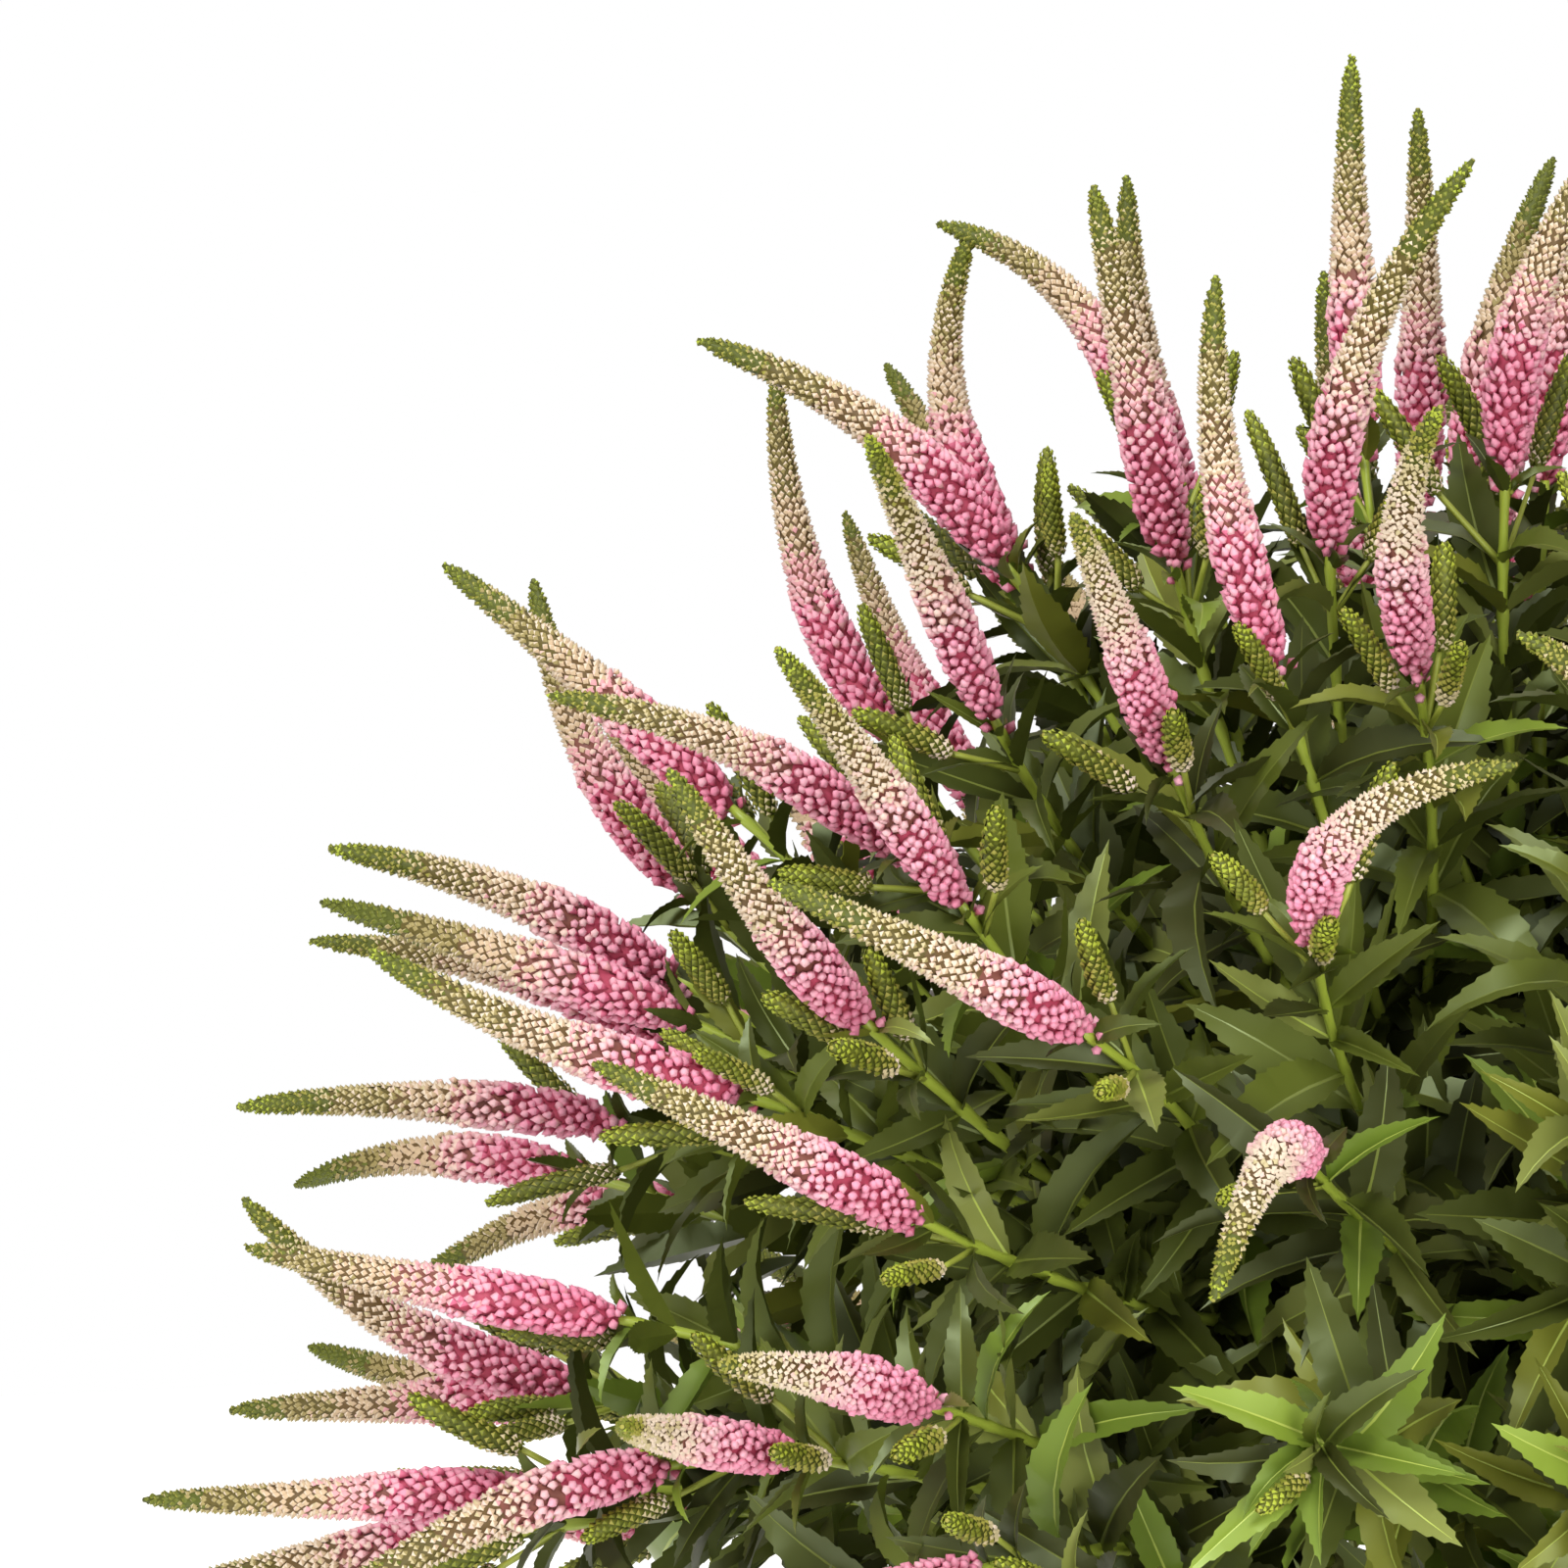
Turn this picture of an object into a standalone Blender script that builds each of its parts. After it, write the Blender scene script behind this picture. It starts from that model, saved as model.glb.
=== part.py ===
# A pink spiked speedwell, the garden kin of hebe, grown as a round bush in a plain glazed pot.
# Metres, +Z up. The origin is the middle of the pot's flat underside.

import math
import random

import bmesh
import bpy
from mathutils import Vector

# Pot and compost
POT_HEIGHT = 0.200
POT_FOOT_RADIUS = 0.088
POT_BODY_TOP_RADIUS = 0.119
POT_RIM_RADIUS = 0.125
POT_RIM_DEPTH = 0.028
POT_WALL = 0.008
POT_FLOOR = 0.012
POT_EDGE_ROUND = 0.004
POT_SEGMENTS = 32
SOIL_TOP = 0.182
SOIL_DISH = 0.004
SOIL_FLAT_RADIUS = 0.036
FACE_GAP = 0.0003

# Crown: a ball of shoots round one point just above the pot
CROWN_CENTRE = Vector((0.0, 0.0, 0.222))
CROWN_TOP_RADIUS = 0.389
CROWN_SIDE_RADIUS = 0.371
CROWN_SHOULDER = 0.7
CROWN_RINGS = ((90.0, 1, 0.0), (61.0, 5, 0.25), (33.5, 8, 0.0), (6.0, 10, 0.5))
AXIS_WANDER = math.radians(1.6)
LOWEST_LEAF_ELEVATION = math.radians(-23.0)
WALL_MARGIN = 0.0006
SEED = 4100

# Short woody stem inside the foliage
TRUNK_FLARE_RADIUS = 0.027
TRUNK_WAIST_RADIUS = 0.0165
TRUNK_WAIST_RISE = 0.011
TRUNK_NECK = 0.006
TRUNK_HEAD_RADIUS = 0.024
TRUNK_LOBES = 5
TRUNK_LOBE_DEPTH = 0.10
TRUNK_SEGMENTS = 18
TRUNK_HEAD_STEPS = 6

# Boughs
BOUGH_START = TRUNK_HEAD_RADIUS + FACE_GAP
BOUGH_END = 0.100
BOUGH_START_RADIUS = 0.0045
BOUGH_END_RADIUS = 0.0036
BOUGH_BEND = 0.0035
BOUGH_SIDES = 6
BOUGH_STEPS = 2

# Masses: a main shoot on the bough's line, and side shoots that leave it one after another
MASS_START = BOUGH_END + FACE_GAP
FIRST_FORK = 0.105
LAST_FORK = 0.131
STEM_TOP = 0.136
STEM_RADIUS = 0.0036
STEM_TOP_RADIUS = 0.0031
SIDE_SHOOTS = 5
SHOOT_RADIUS = 0.0024
SHOOT_NECK_RADIUS = 0.0019
OUTER_SHARE = 0.64
INNER_SHARE = 0.14

# Flower spikes, one on each shoot's end
SPIKE_LENGTH = 0.098
SPIKE_LEAN = math.radians(3.0)
SPIKE_DROOP = 0.014
SPIKE_RADIUS = 0.0084
SPIKE_WIDEST_AT = 0.12
SPIKE_UPPER_RADIUS = 0.0048
SPIKE_UPPER_AT = 0.80
SHOOT_SIDES = 4

# Side of the crown whose shoots end in leaves and not in spikes
LEAFY_ELEVATION = math.radians(10.0)
LEAFY_AZIMUTH = math.radians(-90.0)
LEAFY_REACH = math.radians(21.0)
LEAFY_TIP = 0.012
LEAFY_TUFT = 2

# Leaves
MAIN_SHOOT_LEAVES = 1
SIDE_SHOOT_LEAVES = 2
LEAF_LENGTH = 0.064
LEAF_WIDTH = 0.024
LEAF_THICKNESS = 0.0014
LEAF_TRIES = 6
LEAF_SHRINK = 0.93
LEAF_BELLY = 0.40
LOWEST_LEAF = 0.34
HIGHEST_LEAF = 0.96
LEAF_SAG = 0.12
LEAF_ANGLE = math.radians(48.0)
TUFT_ANGLE = math.radians(30.0)
GOLDEN_ANGLE = math.radians(137.508)
POT_CLEARANCE = 0.004

LEAF_SLOT = 0
BLOOM_SLOT = 1
STEM_SLOT = 2


def clear_scene():
    for item in list(bpy.data.objects):
        bpy.data.objects.remove(item, do_unlink=True)


def make_material(name, colour, roughness):
    material = bpy.data.materials.new(name)
    material.use_nodes = True
    shader = material.node_tree.nodes["Principled BSDF"]
    shader.inputs["Base Color"].default_value = (*colour, 1.0)
    shader.inputs["Roughness"].default_value = roughness
    shader.inputs["Metallic"].default_value = 0.0
    return material


def mesh_from_faces(name, points, faces, slots=None):
    """A mesh of triangles; slots gives each face's material, or all take the first."""
    mesh = bpy.data.meshes.new(name)
    mesh.from_pydata(points, [], faces)
    if slots:
        mesh.polygons.foreach_set("material_index", slots)
    body = bmesh.new()
    body.from_mesh(mesh)
    bmesh.ops.triangulate(body, faces=body.faces)
    bmesh.ops.recalc_face_normals(body, faces=body.faces)
    body.to_mesh(mesh)
    body.free()
    return mesh


def place(name, mesh, materials, smooth=False):
    item = bpy.data.objects.new(name, mesh)
    for material in materials:
        mesh.materials.append(material)
    bpy.context.scene.collection.objects.link(item)
    if smooth:
        mesh.shade_smooth()
        mesh.set_sharp_from_angle(angle=math.radians(35.0))
    return item


def turned(profile, segments, swell=None):
    """Points and faces of a turned solid; a profile point at radius 0 is a pole."""
    points = []
    rings = []
    for radius, height in profile:
        if radius == 0.0:
            rings.append([len(points)])
            points.append(Vector((0.0, 0.0, height)))
            continue
        rings.append(list(range(len(points), len(points) + segments)))
        for i in range(segments):
            angle = math.tau * i / segments
            reach = radius * (swell(angle, height) if swell else 1.0)
            points.append(Vector((reach * math.cos(angle), reach * math.sin(angle), height)))
    return points, joined_rings(rings, segments)


def joined_rings(rings, segments):
    faces = []
    for lower, upper in zip(rings, rings[1:]):
        for i in range(segments):
            j = (i + 1) % segments
            if len(lower) == 1:
                faces.append((lower[0], upper[i], upper[j]))
            elif len(upper) == 1:
                faces.append((lower[i], lower[j], upper[0]))
            else:
                faces.append((lower[i], lower[j], upper[j], upper[i]))
    return faces


def tangents(axis):
    """Two unit vectors square to an axis and to each other."""
    guide = Vector((0.0, 0.0, 1.0)) if abs(axis.z) < 0.9 else Vector((1.0, 0.0, 0.0))
    side = guide.cross(axis).normalized()
    return side, axis.cross(side).normalized()


def tube(path, radii, sides, end_axis=None):
    """A closed tube along a path, its ends square to an axis; a radius of 0 makes a pointed tip."""
    points = []
    rings = []
    side = None
    for i, (centre, radius) in enumerate(zip(path, radii)):
        last = len(path) - 1
        along = (path[min(i + 1, last)] - path[max(i - 1, 0)]).normalized()
        if end_axis and i in (0, last):
            along = end_axis
        side = tangents(along)[0] if side is None else (side - along * side.dot(along)).normalized()
        across = along.cross(side)
        if radius == 0.0:
            rings.append([len(points)])
            points.append(centre.copy())
            continue
        rings.append(list(range(len(points), len(points) + sides)))
        for j in range(sides):
            angle = math.tau * j / sides
            points.append(centre + radius * (math.cos(angle) * side + math.sin(angle) * across))
    faces = joined_rings(rings, sides)
    for ring in (rings[0], rings[-1]):
        if len(ring) > 1:
            faces.append(tuple(ring))
    return points, faces


def arc(start, middle, end, shares):
    """Points at shares of the arc that leaves start towards middle and comes to end from it."""
    return [start * (1 - t) ** 2 + middle * (2 * t * (1 - t)) + end * t**2 for t in shares]


def heading(elevation, azimuth):
    flat = math.cos(elevation)
    return Vector((flat * math.cos(azimuth), flat * math.sin(azimuth), math.sin(elevation)))


def tilted(axis, turn, tilt):
    """The axis leaned by an angle towards one side of it."""
    side, up = tangents(axis)
    towards = side * math.cos(turn) + up * math.sin(turn)
    return (axis * math.cos(tilt) + towards * math.sin(tilt)).normalized()


def bough_axes():
    """Directions of the boughs from the crown's centre, ring by ring from the top down."""
    rng = random.Random(SEED)
    axes = []
    for elevation, count, turn in CROWN_RINGS:
        for i in range(count):
            straight = heading(math.radians(elevation), math.tau * (i + turn) / count)
            axes.append(tilted(straight, rng.uniform(0.0, math.tau), rng.uniform(0.0, AXIS_WANDER)))
    return axes


def cell_walls(axis, axes):
    """Inward normals of the planes, all through the crown's centre, that bound one mass's space."""
    walls = [(axis - other).normalized() for other in axes if other is not axis]
    azimuth = math.atan2(axis.y, axis.x)
    walls.append(heading(LOWEST_LEAF_ELEVATION + math.pi / 2, azimuth))
    return walls


def room_at(point, walls):
    """How far a point, measured from the crown's centre, stands inside its nearest wall."""
    return min(point.dot(wall) for wall in walls)


def room_towards(axis, turn, walls):
    """The angle from the axis to the nearest wall on one side."""
    side, up = tangents(axis)
    lean = side * math.cos(turn) + up * math.sin(turn)
    angles = [math.atan2(axis.dot(wall), -lean.dot(wall)) for wall in walls if lean.dot(wall) < 0.0]
    return min(angles)


def clear_of_pot(point):
    """Whether a point, measured from the crown's centre, keeps off the pot and what fills it."""
    placed = point + CROWN_CENTRE
    outside = math.hypot(placed.x, placed.y) > POT_RIM_RADIUS + POT_CLEARANCE
    return outside or placed.z > POT_HEIGHT + POT_CLEARANCE


def crown_height(direction):
    """How far from the crown's centre its outline stands in one direction."""
    share = max(0.0, min(1.0, direction.z / CROWN_SHOULDER))
    return CROWN_SIDE_RADIUS + (CROWN_TOP_RADIUS - CROWN_SIDE_RADIUS) * share


def grow_shoot(axis, walls, index, rng):
    """Paths of one shoot's stalk and of the spike on its end, measured from the crown's centre."""
    turn = math.tau * index / SIDE_SHOOTS + rng.uniform(-0.22, 0.22)
    share = OUTER_SHARE * rng.uniform(0.88, 1.06) if index else INNER_SHARE
    lean_turn = rng.uniform(0.0, math.tau)
    lean = SPIKE_LEAN * math.sqrt(rng.random())
    fullness = rng.uniform(0.94, 1.0)
    length = SPIKE_LENGTH * rng.uniform(0.92, 1.06)
    fork = FIRST_FORK + (LAST_FORK - FIRST_FORK) * (index - 1) / (SIDE_SHOOTS - 1)
    start = axis * (fork if index else STEM_TOP)
    for pull in (1.0, 0.9, 0.8, 0.7, 0.6, 0.5):
        middle = tilted(axis, turn, share * pull * room_towards(axis, turn, walls))
        tip_height = crown_height(middle) * fullness
        base = tilted(middle, lean_turn + math.pi, lean * pull) * (tip_height - length)
        tip = tilted(middle, lean_turn, lean * pull) * tip_height
        tip.z -= SPIKE_DROOP * pull * (1.0 - abs(middle.z))
        onward = ((tip - base).normalized() + base.normalized()).normalized()
        stalk = arc(start, base - onward * (0.5 * (base - start).length), base, (0.0, 0.5, 1.0))
        stations = (0.0, SPIKE_WIDEST_AT, SPIKE_UPPER_AT, 1.0)
        spike = arc(base, base + onward * (0.5 * length), tip, stations)
        if min(room_at(point, walls) for point in spike) > SPIKE_RADIUS + WALL_MARGIN:
            break
    return stalk, spike


def is_leafy(base):
    """Whether a shoot stands on the side that bears no spikes."""
    return base.angle(heading(LEAFY_ELEVATION, LEAFY_AZIMUTH)) < LEAFY_REACH


def shoot_body(axis, stalk, spike, main):
    """Points, faces and slots of a shoot that swells into its spike, or ends in a leafy tip."""
    radii = [SHOOT_RADIUS, 0.5 * (SHOOT_RADIUS + SHOOT_NECK_RADIUS), SHOOT_NECK_RADIUS]
    if is_leafy(stalk[-1]):
        onward = (spike[1] - spike[0]).normalized()
        path = stalk + [stalk[-1] + onward * LEAFY_TIP]
        radii.append(0.0)
        bloom_bands = 0
    else:
        path = stalk + spike[1:]
        radii += [SPIKE_RADIUS, SPIKE_UPPER_RADIUS, 0.0]
        bloom_bands = len(spike) - 1
    if main:
        path = [axis * MASS_START] + path
        radii = [STEM_RADIUS, STEM_TOP_RADIUS] + radii[1:]
    points, faces = tube(path, radii, SHOOT_SIDES, axis if main else None)
    green_bands = len(path) - 1 - bloom_bands
    slots = [STEM_SLOT] * (green_bands * SHOOT_SIDES) + [BLOOM_SLOT] * (bloom_bands * SHOOT_SIDES)
    return points, faces, slots + [STEM_SLOT] * (len(faces) - len(slots))


def leaf_blade(root, along, face, length):
    """A thin leaf of six faces: flat below, with a ridge along its middle above."""
    across = along.cross(face).normalized()
    belly = root + along * (length * LEAF_BELLY)
    half_width = LEAF_WIDTH * 0.5 * length / LEAF_LENGTH
    tip = root + along * length - face * (LEAF_SAG * length)
    edges = [belly + across * half_width, belly - across * half_width]
    points = [root, edges[0], tip, edges[1], belly + face * LEAF_THICKNESS]
    faces = [(i, (i + 1) % 4, 4) for i in range(4)] + [(0, 3, 1), (1, 3, 2)]
    return points, faces, [LEAF_SLOT] * len(faces)


def leaf_fits(blade, axis, walls):
    """Whether a leaf keeps to its mass's space, off the bough's tip and off the pot."""
    points = blade[0]
    inside = min(room_at(point, walls) for point in points) > WALL_MARGIN
    ahead = min(point.dot(axis) for point in points) > MASS_START + FACE_GAP
    return inside and ahead and all(clear_of_pot(point) for point in points)


def grow_leaves(axis, walls, stalk, count, rng):
    """Leaves that stand out round one shoot, turned until they fit in the mass's space."""
    blades = []
    turn = rng.uniform(0.0, math.tau)
    tuft = LEAFY_TUFT if is_leafy(stalk[-1]) else 0
    for i in range(count + tuft):
        share = LOWEST_LEAF + (HIGHEST_LEAF - LOWEST_LEAF) * (i + rng.uniform(0.1, 0.9)) / count
        length = LEAF_LENGTH * rng.uniform(0.85, 1.08)
        angle = LEAF_ANGLE + rng.uniform(-0.2, 0.2)
        if i >= count:
            share = 1.0
            angle = TUFT_ANGLE
        place_along = share * (len(stalk) - 1)
        step = min(int(place_along), len(stalk) - 2)
        root = stalk[step].lerp(stalk[step + 1], place_along - step)
        onward = (stalk[step + 1] - stalk[step]).normalized()
        for _ in range(LEAF_TRIES):
            turn += GOLDEN_ANGLE
            along = tilted(onward, turn, angle)
            face = (onward - along * onward.dot(along)).normalized()
            blade = leaf_blade(root, along, face, length)
            if leaf_fits(blade, axis, walls):
                blades.append(blade)
                break
            length *= LEAF_SHRINK
    return blades


def keep_one_shell(mesh):
    """Leaves the largest closed skin, so sealed hollows are filled and loose scraps dropped."""
    body = bmesh.new()
    body.from_mesh(mesh)
    unseen = set(body.faces)
    shells = []
    while unseen:
        shell = set()
        edge_of_search = [unseen.pop()]
        while edge_of_search:
            face = edge_of_search.pop()
            shell.add(face)
            for edge in face.edges:
                for other in edge.link_faces:
                    if other in unseen:
                        unseen.discard(other)
                        edge_of_search.append(other)
        shells.append(shell)
    largest = max(shells, key=len)
    extra = [face for face in body.faces if face not in largest]
    bmesh.ops.delete(body, geom=extra, context="FACES")
    body.to_mesh(mesh)
    body.free()


def fuse(name, shapes, materials):
    """One solid from a main shoot and everything that grows on it."""
    meshes = []
    for points, faces, slots in shapes:
        placed = [point + CROWN_CENTRE for point in points]
        meshes.append(mesh_from_faces(name, placed, faces, slots))
    base = place(name, meshes[0], materials)
    joining = bpy.data.collections.new(name + "_limbs")
    for mesh in meshes[1:]:
        joining.objects.link(bpy.data.objects.new(name + "_limb", mesh))
    union = base.modifiers.new("fuse", "BOOLEAN")
    union.operation = "UNION"
    union.operand_type = "COLLECTION"
    union.collection = joining
    union.solver = "EXACT"
    bpy.context.view_layer.objects.active = base
    bpy.ops.object.modifier_apply(modifier=union.name)
    for limb in list(joining.objects):
        bpy.data.objects.remove(limb, do_unlink=True)
    bpy.data.collections.remove(joining)
    keep_one_shell(base.data)
    return base


def inner_radius(height):
    """The pot's inner radius at a height."""
    slope = (POT_BODY_TOP_RADIUS - POT_FOOT_RADIUS) / (POT_HEIGHT - POT_RIM_DEPTH)
    return POT_FOOT_RADIUS - POT_WALL + slope * height


def make_pot(glaze):
    inner_top = inner_radius(POT_HEIGHT)
    rim_foot = POT_HEIGHT - POT_RIM_DEPTH
    half_round = POT_EDGE_ROUND / 2
    profile = [
        (0.0, 0.0),
        (POT_FOOT_RADIUS - POT_EDGE_ROUND, 0.0),
        (POT_FOOT_RADIUS, POT_EDGE_ROUND),
        (POT_BODY_TOP_RADIUS, rim_foot),
        (POT_RIM_RADIUS - half_round, rim_foot),
        (POT_RIM_RADIUS, rim_foot + half_round),
        (POT_RIM_RADIUS, POT_HEIGHT - half_round),
        (POT_RIM_RADIUS - half_round, POT_HEIGHT),
        (inner_top + half_round, POT_HEIGHT),
        (inner_top, POT_HEIGHT - half_round),
        (inner_radius(POT_FLOOR + half_round), POT_FLOOR + half_round),
        (inner_radius(POT_FLOOR) - half_round, POT_FLOOR),
        (0.0, POT_FLOOR),
    ]
    mesh = mesh_from_faces("pot", *turned(profile, POT_SEGMENTS))
    return place("pot", mesh, [glaze], smooth=True)


def make_soil(compost):
    base = POT_FLOOR + FACE_GAP
    edge_top = SOIL_TOP - SOIL_DISH
    side_gap = 2 * FACE_GAP
    profile = [
        (0.0, base),
        (inner_radius(POT_FLOOR) - POT_EDGE_ROUND, base),
        (inner_radius(POT_FLOOR + POT_EDGE_ROUND) - side_gap, POT_FLOOR + POT_EDGE_ROUND),
        (inner_radius(edge_top) - side_gap, edge_top),
        (0.5 * (inner_radius(edge_top) + SOIL_FLAT_RADIUS), SOIL_TOP - 0.6 * SOIL_DISH),
        (SOIL_FLAT_RADIUS, SOIL_TOP),
        (0.0, SOIL_TOP),
    ]
    mesh = mesh_from_faces("compost", *turned(profile, POT_SEGMENTS))
    return place("compost", mesh, [compost], smooth=True)


def make_trunk(bark):
    foot = SOIL_TOP + FACE_GAP
    waist = foot + TRUNK_WAIST_RISE
    centre = CROWN_CENTRE.z
    profile = [
        (0.0, foot),
        (TRUNK_FLARE_RADIUS, foot),
        (0.5 * (TRUNK_FLARE_RADIUS + TRUNK_WAIST_RADIUS) - 0.001, foot + 0.4 * TRUNK_WAIST_RISE),
        (TRUNK_WAIST_RADIUS, waist),
    ]
    lowest = math.asin((waist + TRUNK_NECK - centre) / TRUNK_HEAD_RADIUS)
    for i in range(TRUNK_HEAD_STEPS):
        angle = lowest + (math.pi / 2 - lowest) * i / TRUNK_HEAD_STEPS
        profile.append((TRUNK_HEAD_RADIUS * math.cos(angle), centre + TRUNK_HEAD_RADIUS * math.sin(angle)))
    profile.append((0.0, centre + TRUNK_HEAD_RADIUS))

    def lobes(angle, height):
        """Root flare that is deepest at the soil and gone at the waist."""
        depth = TRUNK_LOBE_DEPTH * max(0.0, 1.0 - (height - foot) / TRUNK_WAIST_RISE)
        return 1.0 + depth * math.cos(TRUNK_LOBES * angle)

    mesh = mesh_from_faces("trunk", *turned(profile, TRUNK_SEGMENTS, lobes))
    return place("trunk", mesh, [bark], smooth=True)


def make_bough(number, axis, rng, stem):
    side, up = tangents(axis)
    turn = rng.uniform(0.0, math.tau)
    offset = (side * math.cos(turn) + up * math.sin(turn)) * (2 * BOUGH_BEND)
    middle = axis * (0.5 * (BOUGH_START + BOUGH_END)) + offset
    shares = [i / BOUGH_STEPS for i in range(BOUGH_STEPS + 1)]
    path = arc(axis * BOUGH_START, middle, axis * BOUGH_END, shares)
    path = [point + CROWN_CENTRE for point in path]
    radii = [BOUGH_START_RADIUS + (BOUGH_END_RADIUS - BOUGH_START_RADIUS) * share for share in shares]
    name = f"bough_{number:02d}"
    mesh = mesh_from_faces(name, *tube(path, radii, BOUGH_SIDES, axis))
    return place(name, mesh, [stem], smooth=True)


def make_mass(number, axis, axes, rng, materials):
    walls = cell_walls(axis, axes)
    shapes = []
    for index in range(SIDE_SHOOTS + 1):
        stalk, spike = grow_shoot(axis, walls, index, rng)
        shapes.append(shoot_body(axis, stalk, spike, main=index == 0))
        leaves = SIDE_SHOOT_LEAVES if index else MAIN_SHOOT_LEAVES
        shapes.extend(grow_leaves(axis, walls, stalk, leaves, rng))
    return fuse(f"foliage_{number:02d}", shapes, materials)


def main():
    clear_scene()
    glaze = make_material("cream_glaze", (0.78, 0.74, 0.64), 0.28)
    compost = make_material("compost_brown", (0.045, 0.03, 0.02), 0.95)
    bark = make_material("woody_stem", (0.19, 0.15, 0.08), 0.8)
    green_stem = make_material("green_stem", (0.33, 0.40, 0.13), 0.6)
    leaf = make_material("leaf_green", (0.05, 0.16, 0.05), 0.45)
    bloom = make_material("bloom_pink", (0.80, 0.22, 0.42), 0.6)
    make_pot(glaze)
    make_soil(compost)
    make_trunk(bark)
    axes = bough_axes()
    for i, axis in enumerate(axes):
        rng = random.Random(SEED + 1 + i)
        make_bough(i + 1, axis, rng, green_stem)
        make_mass(i + 1, axis, axes, rng, [leaf, bloom, green_stem])


main()
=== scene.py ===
import random
from math import asin, atan2, cos, dist, hypot, pi, radians, sin, sqrt, tau

import bpy
import numpy as np
from mathutils import Matrix, Vector, noise


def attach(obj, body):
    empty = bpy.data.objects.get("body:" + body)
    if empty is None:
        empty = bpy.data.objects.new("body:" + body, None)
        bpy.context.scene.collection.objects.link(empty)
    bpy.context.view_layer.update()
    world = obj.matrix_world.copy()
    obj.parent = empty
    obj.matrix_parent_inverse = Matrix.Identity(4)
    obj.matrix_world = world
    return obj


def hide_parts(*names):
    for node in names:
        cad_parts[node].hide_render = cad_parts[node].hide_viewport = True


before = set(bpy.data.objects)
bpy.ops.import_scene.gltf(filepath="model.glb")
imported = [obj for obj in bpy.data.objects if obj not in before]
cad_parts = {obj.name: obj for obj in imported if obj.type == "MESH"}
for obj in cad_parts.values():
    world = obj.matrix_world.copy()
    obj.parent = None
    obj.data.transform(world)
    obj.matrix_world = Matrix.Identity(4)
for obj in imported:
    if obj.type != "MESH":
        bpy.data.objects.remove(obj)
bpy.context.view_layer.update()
print("frame loaded with", len(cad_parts), "nodes")

goldenAngle = radians(137.508)

# The crown's rule: every shoot stands where it stands in the solids
crown = dict(
    centre=Vector((0.0, 0.0, 0.222)), topRadius=0.389, sideRadius=0.371, shoulder=0.7,
    rings=((90.0, 1, 0.0), (61.0, 5, 0.25), (33.5, 8, 0.0), (6.0, 10, 0.5)),  # height, count, turn
    wander=radians(1.6), lowestLeaf=radians(-23.0), wallMargin=0.0006, seed=4100, leafSeed=7000,
    budSeed=9000,
)
limb = dict(start=0.0243, end=0.100, startRadius=0.0045, endRadius=0.0036, bend=0.0035)
shoot = dict(
    massStart=0.1003, firstFork=0.105, lastFork=0.131, stemTop=0.136, sideShoots=5,
    turnSpread=0.22, outerShare=(0.64, 0.88, 1.06), innerShare=0.14,
    fullness=(0.94, 1.0), pulls=(1.0, 0.9, 0.8, 0.7, 0.6, 0.5), stemRadius=0.0034,
    stemTopRadius=0.0027, radius=0.0019, neckRadius=0.0013, stations=36, leadStations=7,
    sense=0.002,
)
spikeRule = dict(
    length=(0.098, 0.92, 1.06), lean=radians(3.0), droop=0.014, radius=0.0084,
    checks=(0.0, 0.12, 0.80, 1.0),
)
leafySide = dict(elevation=radians(10.0), azimuth=radians(-90.0), reach=radians(21.0))
coarseLeaves = dict(main=1, side=2, tuft=2, draws=3)
pot = dict(
    height=0.200, footRadius=0.088, bodyTopRadius=0.119, rimRadius=0.125, rimDepth=0.028,
    rimStep=0.001, wall=0.008, floor=0.012, edge=0.004, corner=0.0026, cornerSteps=6,
    cornerShare=0.45, recess=0.0016, recessEdge=(0.014, 0.012), hub=0.004, band=0.008,
    wobble=0.0004, wobbleAround=2, wobbleUp=30, wobbleFrom=0.02, clearance=0.004, segments=88,
)


def anyTurn(rng):
    return rng.uniform(0.0, tau)


def jitter(rng, spread):
    return rng.uniform(-spread, spread)


def varied(rng, rule):  # a measure, drawn between two shares of it
    measure, low, high = rule
    return measure * rng.uniform(low, high)


def between(low, high, share):
    return low + (high - low) * share


def steps(count):
    return np.linspace(0.0, 1.0, count)


def tangents(axis):
    guide = Vector((0.0, 0.0, 1.0)) if abs(axis.z) < 0.9 else Vector((1.0, 0.0, 0.0))
    side = guide.cross(axis).normalized()
    return side, axis.cross(side).normalized()


def heading(elevation, azimuth):
    flat = cos(elevation)
    return Vector((flat * cos(azimuth), flat * sin(azimuth), sin(elevation)))


def sideways(axis, turn):  # at right angles to the axis
    side, up = tangents(axis)
    return side * cos(turn) + up * sin(turn)


def tilted(axis, turn, tilt):  # the axis leaned by an angle towards one side of it
    return (axis * cos(tilt) + sideways(axis, turn) * sin(tilt)).normalized()


def boughAxes():
    rng = random.Random(crown["seed"])
    axes = []
    for elevation, count, turn in crown["rings"]:
        for i in range(count):
            straight = heading(radians(elevation), tau * (i + turn) / count)
            axes.append(tilted(straight, anyTurn(rng), rng.uniform(0.0, crown["wander"])))
    return axes


def cellWalls(axis, axes):  # inward normals of the planes that bound one mass's space
    walls = [(axis - other).normalized() for other in axes if other is not axis]
    azimuth = atan2(axis.y, axis.x)
    walls.append(heading(crown["lowestLeaf"] + pi / 2, azimuth))
    return walls


def roomAt(point, walls):
    return min(point.dot(wall) for wall in walls)


def roomTowards(axis, turn, walls):
    lean = sideways(axis, turn)
    facing = [wall for wall in walls if lean.dot(wall) < 0.0]
    return min(atan2(axis.dot(wall), -lean.dot(wall)) for wall in facing)


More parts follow.
